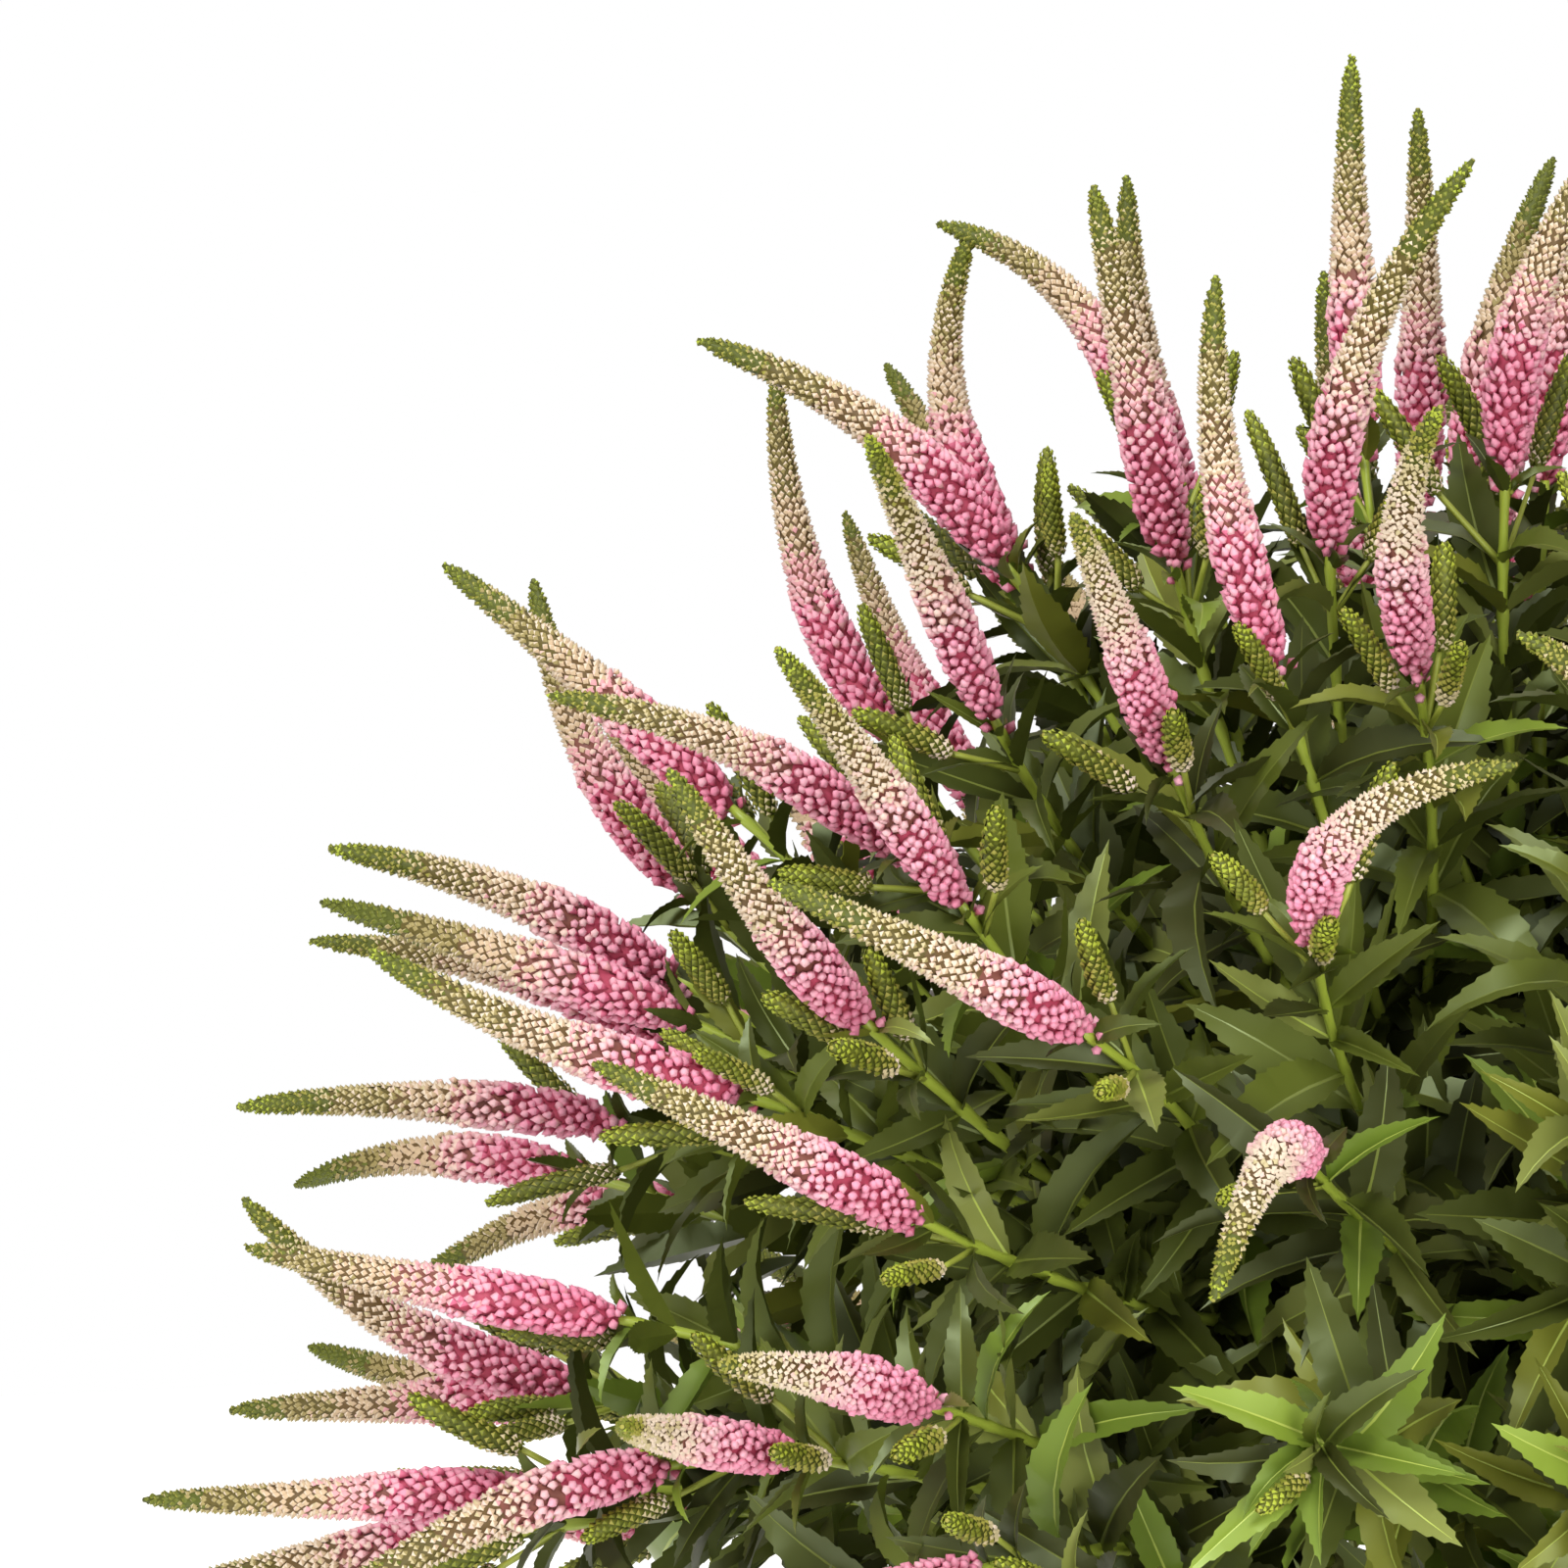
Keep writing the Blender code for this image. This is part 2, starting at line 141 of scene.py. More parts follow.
def clearOfPot(point):  # a point measured from the crown's centre
    placed = point + crown["centre"]
    outside = hypot(placed.x, placed.y) > pot["rimRadius"] + pot["clearance"]
    return outside or placed.z > pot["height"] + pot["clearance"]


def crownHeight(direction):
    share = max(0.0, min(1.0, direction.z / crown["shoulder"]))
    return between(crown["sideRadius"], crown["topRadius"], share)


def arcPoint(start, middle, end, t):
    return start * (1 - t) ** 2 + middle * (2 * t * (1 - t)) + end * t**2


def growShoot(axis, walls, index, rng):
    turn = tau * index / shoot["sideShoots"] + jitter(rng, shoot["turnSpread"])
    share = varied(rng, shoot["outerShare"]) if index else shoot["innerShare"]
    leanTurn = anyTurn(rng)
    lean = spikeRule["lean"] * sqrt(rng.random())
    fullness = rng.uniform(*shoot["fullness"])
    length = varied(rng, spikeRule["length"])
    forks = shoot["lastFork"] - shoot["firstFork"]
    fork = shoot["firstFork"] + forks * (index - 1) / (shoot["sideShoots"] - 1)
    start = axis * (fork if index else shoot["stemTop"])
    for pull in shoot["pulls"]:  # nearer to the bough until the spike keeps to its own cell
        middle = tilted(axis, turn, share * pull * roomTowards(axis, turn, walls))
        tipHeight = crownHeight(middle) * fullness
        base = tilted(middle, leanTurn + pi, lean * pull) * (tipHeight - length)
        tip = tilted(middle, leanTurn, lean * pull) * tipHeight
        tip.z -= spikeRule["droop"] * pull * (1.0 - abs(middle.z))
        onward = ((tip - base).normalized() + base.normalized()).normalized()
        stalkBend = base - onward * (0.5 * (base - start).length)
        spikeBend = base + onward * (0.5 * length)
        line = [arcPoint(base, spikeBend, tip, t) for t in spikeRule["checks"]]
        room = min(roomAt(point, walls) for point in line)
        if room > spikeRule["radius"] + crown["wallMargin"]:
            break
    return dict(start=start, stalkBend=stalkBend, base=base, spikeBend=spikeBend, tip=tip)


def isLeafy(base):
    return base.angle(heading(leafySide["elevation"], leafySide["azimuth"])) < leafySide["reach"]


def growCrown():
    axes = boughAxes()
    masses = []
    for i, axis in enumerate(axes):
        rng = random.Random(crown["seed"] + 1 + i)
        mass = {"axis": axis, "boughTurn": anyTurn(rng), "shoots": []}
        walls = cellWalls(axis, axes)
        for index in range(shoot["sideShoots"] + 1):
            grown = growShoot(axis, walls, index, rng)
            grown["leafy"] = isLeafy(grown["base"])
            grown["main"] = index == 0
            leaves = coarseLeaves["side"] if index else coarseLeaves["main"]
            leaves += coarseLeaves["tuft"] if grown["leafy"] else 0
            for _ in range(1 + coarseLeaves["draws"] * leaves):  # what the solids' leaves draw
                rng.random()
            mass["shoots"].append(grown)
        masses.append(mass)
    return masses


# Heaps of points and triangles that become one piece each
class Heap:
    def __init__(self):
        self.points = []
        self.faces = []
        self.slots = []
        self.count = 0

    def add(self, points, faces, slots):
        self.points.append(np.asarray(points, float).reshape(-1, 3))
        self.faces.append(np.asarray(faces, int).reshape(-1, 3) + self.count)
        self.slots.append(np.broadcast_to(np.asarray(slots, int), len(self.faces[-1])))
        self.count += len(self.points[-1])

    def addCopies(self, points, faces, slots):  # the same faces on every row of points
        starts = (np.arange(len(points)) * points.shape[1])[:, None, None]
        self.add(points, np.asarray(faces)[None] + starts, slots.ravel())

    def merged(self):
        return tuple(np.concatenate(rows) for rows in (self.points, self.faces, self.slots))

    def piece(self, name, materials, smooth=True):
        points, faces, slots = self.merged()
        return makePiece(name, points + np.array(crown["centre"]), faces, slots, materials, smooth)


def makePiece(name, points, faces, slots, materials, smooth=True):
    mesh = bpy.data.meshes.new(name)
    mesh.vertices.add(len(points))
    mesh.vertices.foreach_set("co", np.ascontiguousarray(points, np.float32).ravel())
    mesh.loops.add(len(faces) * 3)
    mesh.loops.foreach_set("vertex_index", np.ascontiguousarray(faces, np.int32).ravel())
    mesh.polygons.add(len(faces))
    mesh.polygons.foreach_set("loop_start", np.arange(0, len(faces) * 3, 3, dtype=np.int32))
    for material in materials:
        mesh.materials.append(material)
    mesh.polygons.foreach_set("material_index", np.ascontiguousarray(slots, np.int32))
    mesh.polygons.foreach_set("use_smooth", np.full(len(faces), smooth))
    mesh.update(calc_edges=True)
    mesh.validate()
    item = bpy.data.objects.new(name, mesh)
    bpy.context.scene.collection.objects.link(item)
    print(name, len(faces), "triangles")
    return item


def unit(vectors):
    return vectors / np.linalg.norm(vectors, axis=-1, keepdims=True)


def arc(start, middle, end, shares):
    points = np.array(start), np.array(middle), np.array(end)
    return arcPoint(*points, np.asarray(shares, float)[:, None])


def framesAlong(path):  # direction, and two sides that don't twist, at each point
    along = unit(np.gradient(path, axis=0))
    sides = np.empty_like(path)
    side = np.array(tangents(Vector(along[0]))[0])
    for i, ahead in enumerate(along):
        side = side - ahead * side.dot(ahead)
        side /= np.linalg.norm(side)
        sides[i] = side
    return along, sides, np.cross(along, sides)


def swung(ahead, aside, turns):  # directions turned from the first towards the second
    return ahead * np.cos(turns)[:, None] + aside * np.sin(turns)[:, None]


def ringsOf(side, across, sides, start=0.0):  # a ring of directions round each point
    return swung(side[:, None], across[:, None], np.arange(sides) * tau / sides + start)


def sample(rows, run, places):
    return np.stack([np.interp(places, run, row) for row in rows.T], -1)


def ringFaces(rings, sides):  # two triangles to each quad between rings, and a fan at each end
    i = np.arange(rings - 1)[:, None] * sides
    j = np.arange(sides)[None]
    low, high = i + j, i + (j + 1) % sides
    faces = np.stack([low, high, high + sides, low, high + sides, low + sides], -1).reshape(-1, 3)
    last, end = rings * sides, (rings - 1) * sides
    caps = [(last, (m + 1) % sides, m) for m in range(sides)]
    caps += [(last + 1, end + m, end + (m + 1) % sides) for m in range(sides)]
    return np.vstack([faces, caps])


def tube(path, radii, sides):
    _, side, across = framesAlong(path)
    ring = ringsOf(side, across, sides)
    points = (path[:, None] + ring * np.asarray(radii)[:, None, None]).reshape(-1, 3)
    return np.vstack([points, path[:1], path[-1:]]), ringFaces(len(path), sides)


# Shader trees written as expressions
class Wire:
    def __init__(self, tree, socket=None):
        self.tree = tree
        self.socket = socket

    def node(self, kind, settings=None, sockets=None, out=0):
        made = self.tree.nodes.new(kind)
        for key, value in (settings or {}).items():
            setattr(made, key, value)
        for key, value in (sockets or {}).items():
            self.feed(made.inputs[key], value)
        return Wire(self.tree, made.outputs[out])

    def feed(self, socket, value):
        if isinstance(value, Wire):
            self.tree.links.new(value.socket, socket)
        else:
            socket.default_value = value

    def maths(self, operation, a, b):
        return self.node("ShaderNodeMath", {"operation": operation}, {0: a, 1: b})

    def __add__(self, other):
        return self.maths("ADD", self, other)

    def __mul__(self, other):
        return self.maths("MULTIPLY", self, other)

    def __sub__(self, other):
        return self.maths("SUBTRACT", self, other)

    def __rsub__(self, other):
        return self.maths("SUBTRACT", other, self)

    __radd__ = __add__
    __rmul__ = __mul__

    def blend(self, low, high):  # a colour between two, by this value
        sockets = {0: self, 6: low, 7: high}
        return self.node("ShaderNodeMix", {"data_type": "RGBA"}, sockets, out=2)

    def stretched(self, scale):
        return self.node("ShaderNodeVectorMath", {"operation": "MULTIPLY"}, {0: self, 1: scale})


def paint(colour):  # from screen values of 0 to 255
    shares = [c / 255 for c in colour]
    linear = [c / 12.92 if c <= 0.04045 else ((c + 0.055) / 1.055) ** 2.4 for c in shares]
    return (*linear, 1.0)


def newMaterial(name, **constants):
    material = bpy.data.materials.new(name)
    material.use_nodes = True
    shader = material.node_tree.nodes["Principled BSDF"]
    for key, value in constants.items():
        shader.inputs[key].default_value = value
    return material, Wire(material.node_tree), shader


def plain(name, colour, **constants):
    material, _, shader = newMaterial(name, **constants)
    shader.inputs["Base Color"].default_value = paint(colour)
    return material


def connect(wire, shader, **sockets):
    for key, value in sockets.items():
        wire.feed(shader.inputs[key.replace("_", " ")], value)


def clouds(place, scale, detail):
    return place.node("ShaderNodeTexNoise", {}, {"Vector": place, "Scale": scale, "Detail": detail})


def bumps(height, strength, depth):
    sockets = {"Height": height, "Strength": strength, "Distance": depth}
    return height.node("ShaderNodeBump", {}, sockets)


def steeper(value, low, high):  # spread from low and high to 0 and 1
    sockets = {"Value": value, "From Min": low, "From Max": high}
    return value.node("ShaderNodeMapRange", {}, sockets)


def glazeMaterial():
    look = dict(
        cream=(214, 206, 184), warm=(196, 184, 152), fleck=(120, 96, 66), cloudScale=14.0,
        fleckScale=420.0, fleckEdges=(0.70, 0.76), fleckStrength=0.55, rings=42.0, ringWarp=1.2,
        heights=(0.3, 0.5), bump=(0.25, 0.0012), roughness=0.18,
    )
    coat = {"Coat Weight": 0.5, "Coat Roughness": 0.08}
    material, wire, shader = newMaterial("creamGlaze", **coat)
    place = wire.node("ShaderNodeTexCoord", out=3)
    cloud = clouds(place, look["cloudScale"], 4.0)
    flecks = steeper(clouds(place, look["fleckScale"], 1.0), *look["fleckEdges"])
    ground = cloud.blend(paint(look["cream"]), paint(look["warm"]))
    colour = (flecks * look["fleckStrength"]).blend(ground, paint(look["fleck"]))
    sockets = {"Vector": place, "Scale": look["rings"], "Distortion": look["ringWarp"]}
    rings = wire.node("ShaderNodeTexWave", {"bands_direction": "Z"}, sockets)
    height = rings * look["heights"][0] + cloud * look["heights"][1]
    bump = bumps(height, *look["bump"])
    roughness = cloud * look["roughness"] + look["roughness"]
    connect(wire, shader, Base_Color=colour, Roughness=roughness, Normal=bump)
    return material


def compostMaterial(name, light, dark):
    look = dict(grain=260.0, patch=45.0, share=0.6, bump=(0.7, 0.002), roughness=0.95)
    material, wire, shader = newMaterial(name, Roughness=look["roughness"])
    place = wire.node("ShaderNodeTexCoord", out=3)
    grain = clouds(place, look["grain"], 6.0)
    patch = clouds(place, look["patch"], 3.0)
    colour = (grain * look["share"] + patch * (1 - look["share"])).blend(paint(dark), paint(light))
    bump = bumps(grain + patch, *look["bump"])
    connect(wire, shader, Base_Color=colour, Normal=bump)
    return material


def barkMaterial(name, look):
    rough = dict(patchScale=0.2, grainShare=0.6, edges=(0.35, 0.65), bump=0.8)
    material, wire, shader = newMaterial(name)
    place = wire.node("ShaderNodeTexCoord", out=3).stretched(look["stretch"])
    grain = clouds(place, look["scale"], 6.0)
    patch = clouds(place, look["scale"] * rough["patchScale"], 2.0)
    mixed = grain * rough["grainShare"] + patch * (1 - rough["grainShare"])
    mask = steeper(mixed, *rough["edges"])
    colour = mask.blend(paint(look["dark"]), paint(look["light"]))
    roughness = 1 - mask * (1 - look["roughness"])
    bump = bumps(grain, rough["bump"], look["depth"])
    connect(wire, shader, Base_Color=colour, Roughness=roughness, Normal=bump)
    return material


# Flower spikes: rows of buds round a core, open and pink at the foot, closed and green at the tip
# Each table gives shares of the length, then what holds there
budStations = (0.0, 0.36, 0.42, 0.60, 0.80, 1.0)
spike = dict(
    radius=(
        (0.0, 0.05, 0.14, 0.28, 0.42, 0.56, 0.70, 0.84, 0.94, 1.0),
        (0.0040, 0.0059, 0.0070, 0.0072, 0.0066, 0.0057, 0.0047, 0.0038, 0.0028, 0.0012),
    ),
    spacing=((0.0, 0.08, 0.34, 0.50, 0.80, 1.0), (0.0036, 0.0031, 0.0029, 0.0021, 0.0018, 0.0016)),
    budLength=(budStations, (0.0052, 0.0047, 0.0030, 0.0023, 0.0020, 0.0018)),
    budWidth=(budStations, (0.0029, 0.0026, 0.0022, 0.0017, 0.0014, 0.0013)),
    budLean=((0.0, 0.25, 0.42, 1.0), (0.72, 0.95, 1.02, 1.20)),
    studHeight=((0.0, 0.42, 0.60, 1.0), (0.0018, 0.0017, 0.0013, 0.0008)),
    studs=0.42,  # share of the length from which buds are closed and flat
    colours=(
        (0.0, 0.11, 0.25, 0.34, 0.42, 0.51, 0.75, 0.86, 0.93, 1.0),
        (0.0, 0.6, 1.4, 2.3, 3.4, 4.7, 5.5, 6.6, 7.6, 8.7),
    ),
    colourSpread=0.4, colourEnds=("rose", "limeBud"),
    # steps through the shade colours along the spike: painted shade on the buds' lower faces and on
    # the core
    shades=((0.0, 0.34, 0.50, 0.62, 0.80, 1.0), (0.0, 0.4, 1.5, 2.2, 3.4, 4.2)),
    paintedShadeSpread=0.2, uneven=0.78, sway=0.021, swayPower=2.2, wave=0.22, hook=0.038,
    hookChance=0.14, hookDrop=0.35, ageSpread=0.09, scales=(0.91, 1.04), firstBud=0.004,
    lastBud=0.995, coreStations=14, coreSides=7,
)
bud = dict(
    sides=5, waist=0.58, studLean=0.4, sizes=(0.80, 1.18), widths=(0.92, 1.08),
    placeSpread=0.0050, turnSpread=0.085, leanSpread=0.25, edgeWave=0.12, edgeWaves=5.0,
    nearest=0.0004,
)
core = dict(belowBuds=0.72, belowStuds=0.8, thinnest=0.0006)
# the shade colours are painted shade on the bud faces that turn to the spike's foot; the gap
# colours are the core's tint, darkened as painted shade between buds
budColours = dict(
    rose=(222, 134, 162), pink=(226, 149, 173), softPink=(229, 166, 183), blush=(230, 185, 190),
    peach=(227, 195, 184), cream=(222, 204, 183), paleBud=(198, 184, 142),
    greenBud=(150, 146, 64), tipBud=(121, 128, 40), limeBud=(162, 175, 56),
    paintedShadeRose=(214, 112, 142), paintedShadeBlush=(220, 160, 166), paintedShadeTan=(198, 173, 142),
    paintedShadeOlive=(152, 138, 88), paintedShadeGreen=(95, 102, 32), gapShadowRose=(172, 70, 94),
    gapShadowBrown=(122, 74, 64), gapShadowOlive=(98, 76, 43), gapShadowMoss=(90, 79, 34), gapShadowGreen=(79, 86, 27),
)
budSheen = {"Roughness": 0.5, "Specular IOR Level": 0.3}
slotOf = {name: i for i, name in enumerate(budColours)}


def along(table, share):
    return np.interp(share, *table)


def nearestSlot(steps, first, last):
    return np.clip(np.rint(steps), slotOf[first], slotOf[last]).astype(int)


def budPlaces(length):  # share of the length and turn of each bud, foot to tip
    shares = []
    share = spike["firstBud"]
    while share < spike["lastBud"]:
        shares.append(share)
        radius = along(spike["radius"], share)
        share += along(spike["spacing"], share) ** 2 / (tau * radius * length)
    return np.array(shares), np.arange(len(shares)) * goldenAngle


def addBuds(heap, base, ahead, side, across, length, width, upper, lower):
    # a many-sided bud each, widest past its middle; upper faces in its colour, lower in painted
    # shade
    sides = bud["sides"]
    ring = ringsOf(side, across, sides, pi / 2)
    waist = base + ahead * (bud["waist"] * length)[:, None]
    ring = waist[:, None] + ring * (0.5 * width)[:, None, None]
    top = base + ahead * length[:, None]
    points = np.concatenate([base[:, None], ring, top[:, None]], 1)
    j = np.arange(sides)
    k = (j + 1) % sides
    low = np.stack([np.zeros_like(j), k + 1, j + 1], -1)
    high = np.stack([np.full_like(j, sides + 1), j + 1, k + 1], -1)
    slots = np.concatenate([np.repeat(row[:, None], sides, 1) for row in (lower, upper)], 1)
    heap.addCopies(points, np.vstack([low, high]), slots)


def addStuds(heap, base, forward, outward, across, length, width, height, upper, lower):
    # a closed bud each that lies on the core: a long four-sided foot, its top leaned to the tip
    half, side = forward * (0.5 * length)[:, None], across * (0.5 * width)[:, None]
    top = base + outward * height[:, None] + half * bud["studLean"]
    points = np.stack([base - half, base + side, base + half, base - side, top], 1)
    faces = [(0, 1, 4), (3, 0, 4), (1, 2, 4), (2, 3, 4)]
    # the two faces towards the spike's foot take the lower colour, as painted shade
    heap.addCopies(points, faces, np.stack([lower, lower, upper, upper], 1))


def spikeBuds(heap, path, table, rng, places, scale, age):
    shares, turns = places
    count = len(shares)
    uneven = table["uneven"]
    shares = np.clip(shares + rng.normal(0.0, bud["placeSpread"] * uneven, count), 0.0, 1.0)
    turns = turns + rng.normal(0.0, bud["turnSpread"] * uneven, count) + anyTurn(rng)
    run = steps(len(path))
    centre, ahead, side, across = (sample(rows, run, shares) for rows in (path, *framesAlong(path)))
    forward = unit(ahead)
    outward = unit(swung(side, across, turns))
    outward = unit(outward - forward * (outward * forward).sum(1)[:, None])
    across = np.cross(forward, outward)
    size = rng.uniform(*bud["sizes"], count)
    length = along(table["budLength"], shares) * size
    width = along(table["budWidth"], shares) * rng.uniform(*bud["widths"], count)
    lean = along(table["budLean"], shares) + rng.normal(0.0, bud["leanSpread"] * uneven, count)
    radius = along(table["radius"], shares) * scale
    step = along(table["colours"], shares + age) + rng.normal(0.0, table["colourSpread"], count)
    upper = nearestSlot(step, *table["colourEnds"])
    # lower faces take painted shade: darker tints that follow the zones on a large spike, dark
    # green on most of a sprig
    if table is spike:
        step = slotOf["paintedShadeRose"] + along(table["shades"], shares + age)
        step = step + rng.normal(0.0, table["paintedShadeSpread"], count)
        lower = nearestSlot(step, "paintedShadeRose", "paintedShadeGreen")
    else:
        lower = np.where(shares + age < table["paintedShadeEnd"], slotOf["paintedShadeGreen"], slotOf["tipBud"])
    edge = 1.0 + bud["edgeWave"] * np.sin(bud["edgeWaves"] * turns)
    full = shares < table["studs"] * edge
    if full.any():
        axis = swung(outward, forward, lean)
        reach = np.maximum(radius - length * np.cos(lean), bud["nearest"])
        base = centre + outward * reach[:, None]
        rows = (base, axis, across, np.cross(axis, across), length, width, upper, lower)
        addBuds(heap, *(row[full] for row in rows))
    height = along(table["studHeight"], shares) * size
    base = centre + outward * (radius - height)[:, None]
    rows = (base, forward, outward, across, length, width, height, upper, lower)
    addStuds(heap, *(row[~full] for row in rows))


def spikeCore(heap, path, table, scale, age):
    shares = steps(len(path))
    sides = table["coreSides"]
    outer = along(table["radius"], shares) * scale
    upright = np.cos(along(table["budLean"], shares))
    buds = core["belowBuds"] * along(table["budLength"], shares) * upright
    studs = core["belowStuds"] * along(table["studHeight"], shares)
    depth = np.where(shares < table["studs"], buds, studs)
    points, faces = tube(path, np.maximum(outer - depth, core["thinnest"]), sides)
    # the core shows only between the buds, so its tint along the spike is darkened there as painted
    # shade
    zone = np.repeat(0.5 * (shares[1:] + shares[:-1]), 2 * sides) + age
    if table is spike:
        slots = slotOf["gapShadowRose"] + np.rint(along(table["shades"], zone)).astype(int)
    else:
        slots = np.where(zone > table["coreGreen"], slotOf["paintedShadeGreen"], slotOf["gapShadowGreen"])
    slots = np.concatenate([slots, np.full(2 * sides, slotOf["greenBud"])])
    heap.add(points, faces, slots)


# Short green spikes that stand on thin stalks below the large one
sprig = dict(
    radius=(
        (0.0, 0.08, 0.25, 0.60, 0.85, 0.96, 1.0),
        (0.0022, 0.0032, 0.0036, 0.0034, 0.0028, 0.0019, 0.0008),
    ),
    budLength=((0.0, 0.5, 1.0), (0.0024, 0.0027, 0.0019)),
    budWidth=((0.0, 0.5, 1.0), (0.0016, 0.0019, 0.0014)), budLean=((0.0, 1.0), (1.0, 1.0)),
    studHeight=((0.0, 1.0), (0.0009, 0.0006)), studs=0.0,
    colours=((0.0, 0.12, 0.30, 0.62, 0.82, 1.0), (5.2, 6.0, 7.2, 7.8, 8.7, 9.4)),
    colourSpread=0.35, colourEnds=("cream", "limeBud"), paintedShadeEnd=0.76, coreGreen=0.6,
    uneven=0.3, buds=136, budRun=(0.01, 0.985), budPower=1.05, length=(0.029, 0.75, 1.2),
    sizes=(0.9, 1.1), girth=(0.8, 0.2), ages=(-0.1, 0.12), stalk=(0.021, 0.6, 1.35),
    stalkRadius=0.0008, stalkFlare=1.25, stalkStations=5, stalkSides=4,
    lean=(radians(28.0), 0.7, 1.5), upturn=0.5, sway=0.12, swaySpread=1.5,
    each=(1, 2, 2, 3), coreStations=7, coreSides=5,
)

# Leaves: narrow, toothed, folded along the midrib and bent back, in whorls at the shoots' nodes
leaf = dict(
    teeth=10, firstEdge=0.07, lastEdge=0.93, widest=0.75, fullness=1.1, tooth=0.11,
    toothPlace=0.80, length=0.051, slimness=0.272, widths=(0.85, 1.18), rib=0.085, ribTip=0.01,
    folds=(0.22, 0.98), foldEase=0.25, bends=(0.2, 1.45), lifts=(-0.8, 0.1), bendChance=0.8,
    curl=0.14, twist=0.6, droop=0.10, ripple=0.03, rippleWaves=19.0, rippleShift=2.1,
    straight=1e-3,
)
leafColours = dict(
    leafDeep=(54, 57, 23), leafDark=(66, 73, 27), leafMid=(84, 93, 32), leafGrey=(114, 121, 58),
    leafOlive=(109, 113, 40), leafFresh=(102, 122, 42), leafLime=(122, 142, 50),
    ribDeep=(104, 113, 46), ribPale=(158, 172, 78),
)
ribSlots = np.array((7, 7, 7, 8, 8, 8, 8))  # the midrib's colour on each colour of leaf
leafSheen = {"Roughness": 0.36, "Specular IOR Level": 0.55, "Specular Tint": (0.84, 1.0, 0.60, 1.0)}
shootGreen, stalkGreen = (158, 175, 62), (152, 162, 62)
shading = dict(  # chances, and shades by their place in leafColours
    young=0.07, youngInTuft=0.24, youngByHeight=0.10, same=0.60, youngShades=(4, 4, 5, 5, 6),
    tuftShades=(3, 4, 4, 5, 6), otherShades=(0, 1, 1, 2, 3), sprayShades=(0, 1, 1, 1, 2, 2),
    leafySprayShades=(1, 2, 2, 3, 4, 5),
)


def leafTemplate():
    # shares along and across, and the faces: two toothed halves that part at the fold,
    # and a rib that bridges it
    edge = np.linspace(leaf["firstEdge"], leaf["lastEdge"], leaf["teeth"] + 1)
    spine = [0.0, *edge[::2], 1.0]
    points = []
    faces = []
    for hand in (1.0, -1.0):
        first = len(points)
        points += [(t, 0.0) for t in spine]
        rim = len(points)  # edge points and teeth in turn
        for i, t in enumerate(edge):
            points.append((t, hand * leafWidth(t)))
            if i < leaf["teeth"]:
                t += leaf["toothPlace"] * (edge[i + 1] - t)
                points.append((t, hand * (leafWidth(t) + leaf["tooth"])))
        last = len(points) - 1
        found = [(first, rim, first + 1), (rim - 2, last, rim - 1)]
        for i in range(leaf["teeth"] // 2):
            a, b, c = first + 1 + i, first + 2 + i, rim + 4 * i
            found += [(a, c, c + 1), (a, c + 1, c + 2), (a, c + 2, b)]
            found += [(b, c + 2, c + 3), (b, c + 3, c + 4)]
        faces += found if hand < 0 else [(a, c, b) for a, b, c in found]
    blades = len(faces)
    first = len(points)
    for i, t in enumerate(spine[:-1]):
        reach = leaf["rib"] * (1.0 - i / (len(spine) - 2)) + leaf["ribTip"]
        points += [(t, reach), (t, -reach)]
    for a in range(first, len(points) - 2, 2):
        faces += [(a, a + 1, a + 3), (a, a + 3, a + 2)]
    return np.array(points), np.array(faces), blades


def leafWidth(t):
    return sin(pi * t ** leaf["widest"]) ** leaf["fullness"]


def fillLeaves(heap, leaves):
    rows = np.array(leaves)
    root, ahead, face = rows[:, 0:3], rows[:, 3:6], rows[:, 6:9]
    length, width, fold, bend, curl = rows[:, 9:14].T[..., None]
    colour = rows[:, 14].astype(int)[:, None]
    across = np.cross(ahead, face)
    template, faces, blades = leafTemplate()
    t, s = template[:, 0], template[:, 1]
    straight = np.abs(bend) < leaf["straight"]
    safe = np.where(straight, 1.0, bend)
    forward = np.where(straight, t, np.sin(bend * t) / safe)
    down = np.where(straight, 0.0, (1 - np.cos(bend * t)) / safe)
    rise = np.abs(s) * (0.5 * width) * np.sin(fold) * (1.0 - leaf["foldEase"] * t)
    waves = np.sin(t * leaf["rippleWaves"] + colour * leaf["rippleShift"])
    rise = rise + leaf["ripple"] * width * waves * np.abs(s)
    sway = s * (0.5 * width) * np.cos(fold) + (curl * length) * t**2
    x = length * forward + rise * np.sin(bend * t)
    z = -length * down + rise * np.cos(bend * t)
    points = root[:, None] + ahead[:, None] * x[..., None] + face[:, None] * z[..., None]
    points = points + across[:, None] * sway[..., None]
    blade = np.repeat(colour, blades, 1)
    rib = np.repeat(ribSlots[colour], len(faces) - blades, 1)
    heap.addCopies(points, faces, np.concatenate([blade, rib], 1))
    return len(rows)


def pickLeaf(rng, shade, height, leafy):
    # a spray keeps mostly to one shade; young leaves near its top are paler, most of all in a tuft
    roll = rng.random()
    young = shading["youngInTuft"] if leafy else shading["young"]
    if roll < young + shading["youngByHeight"] * height:
        return rng.choice(shading["tuftShades"] if leafy else shading["youngShades"])
    if roll < shading["same"]:
        return shade
    return rng.choice(shading["otherShades"])


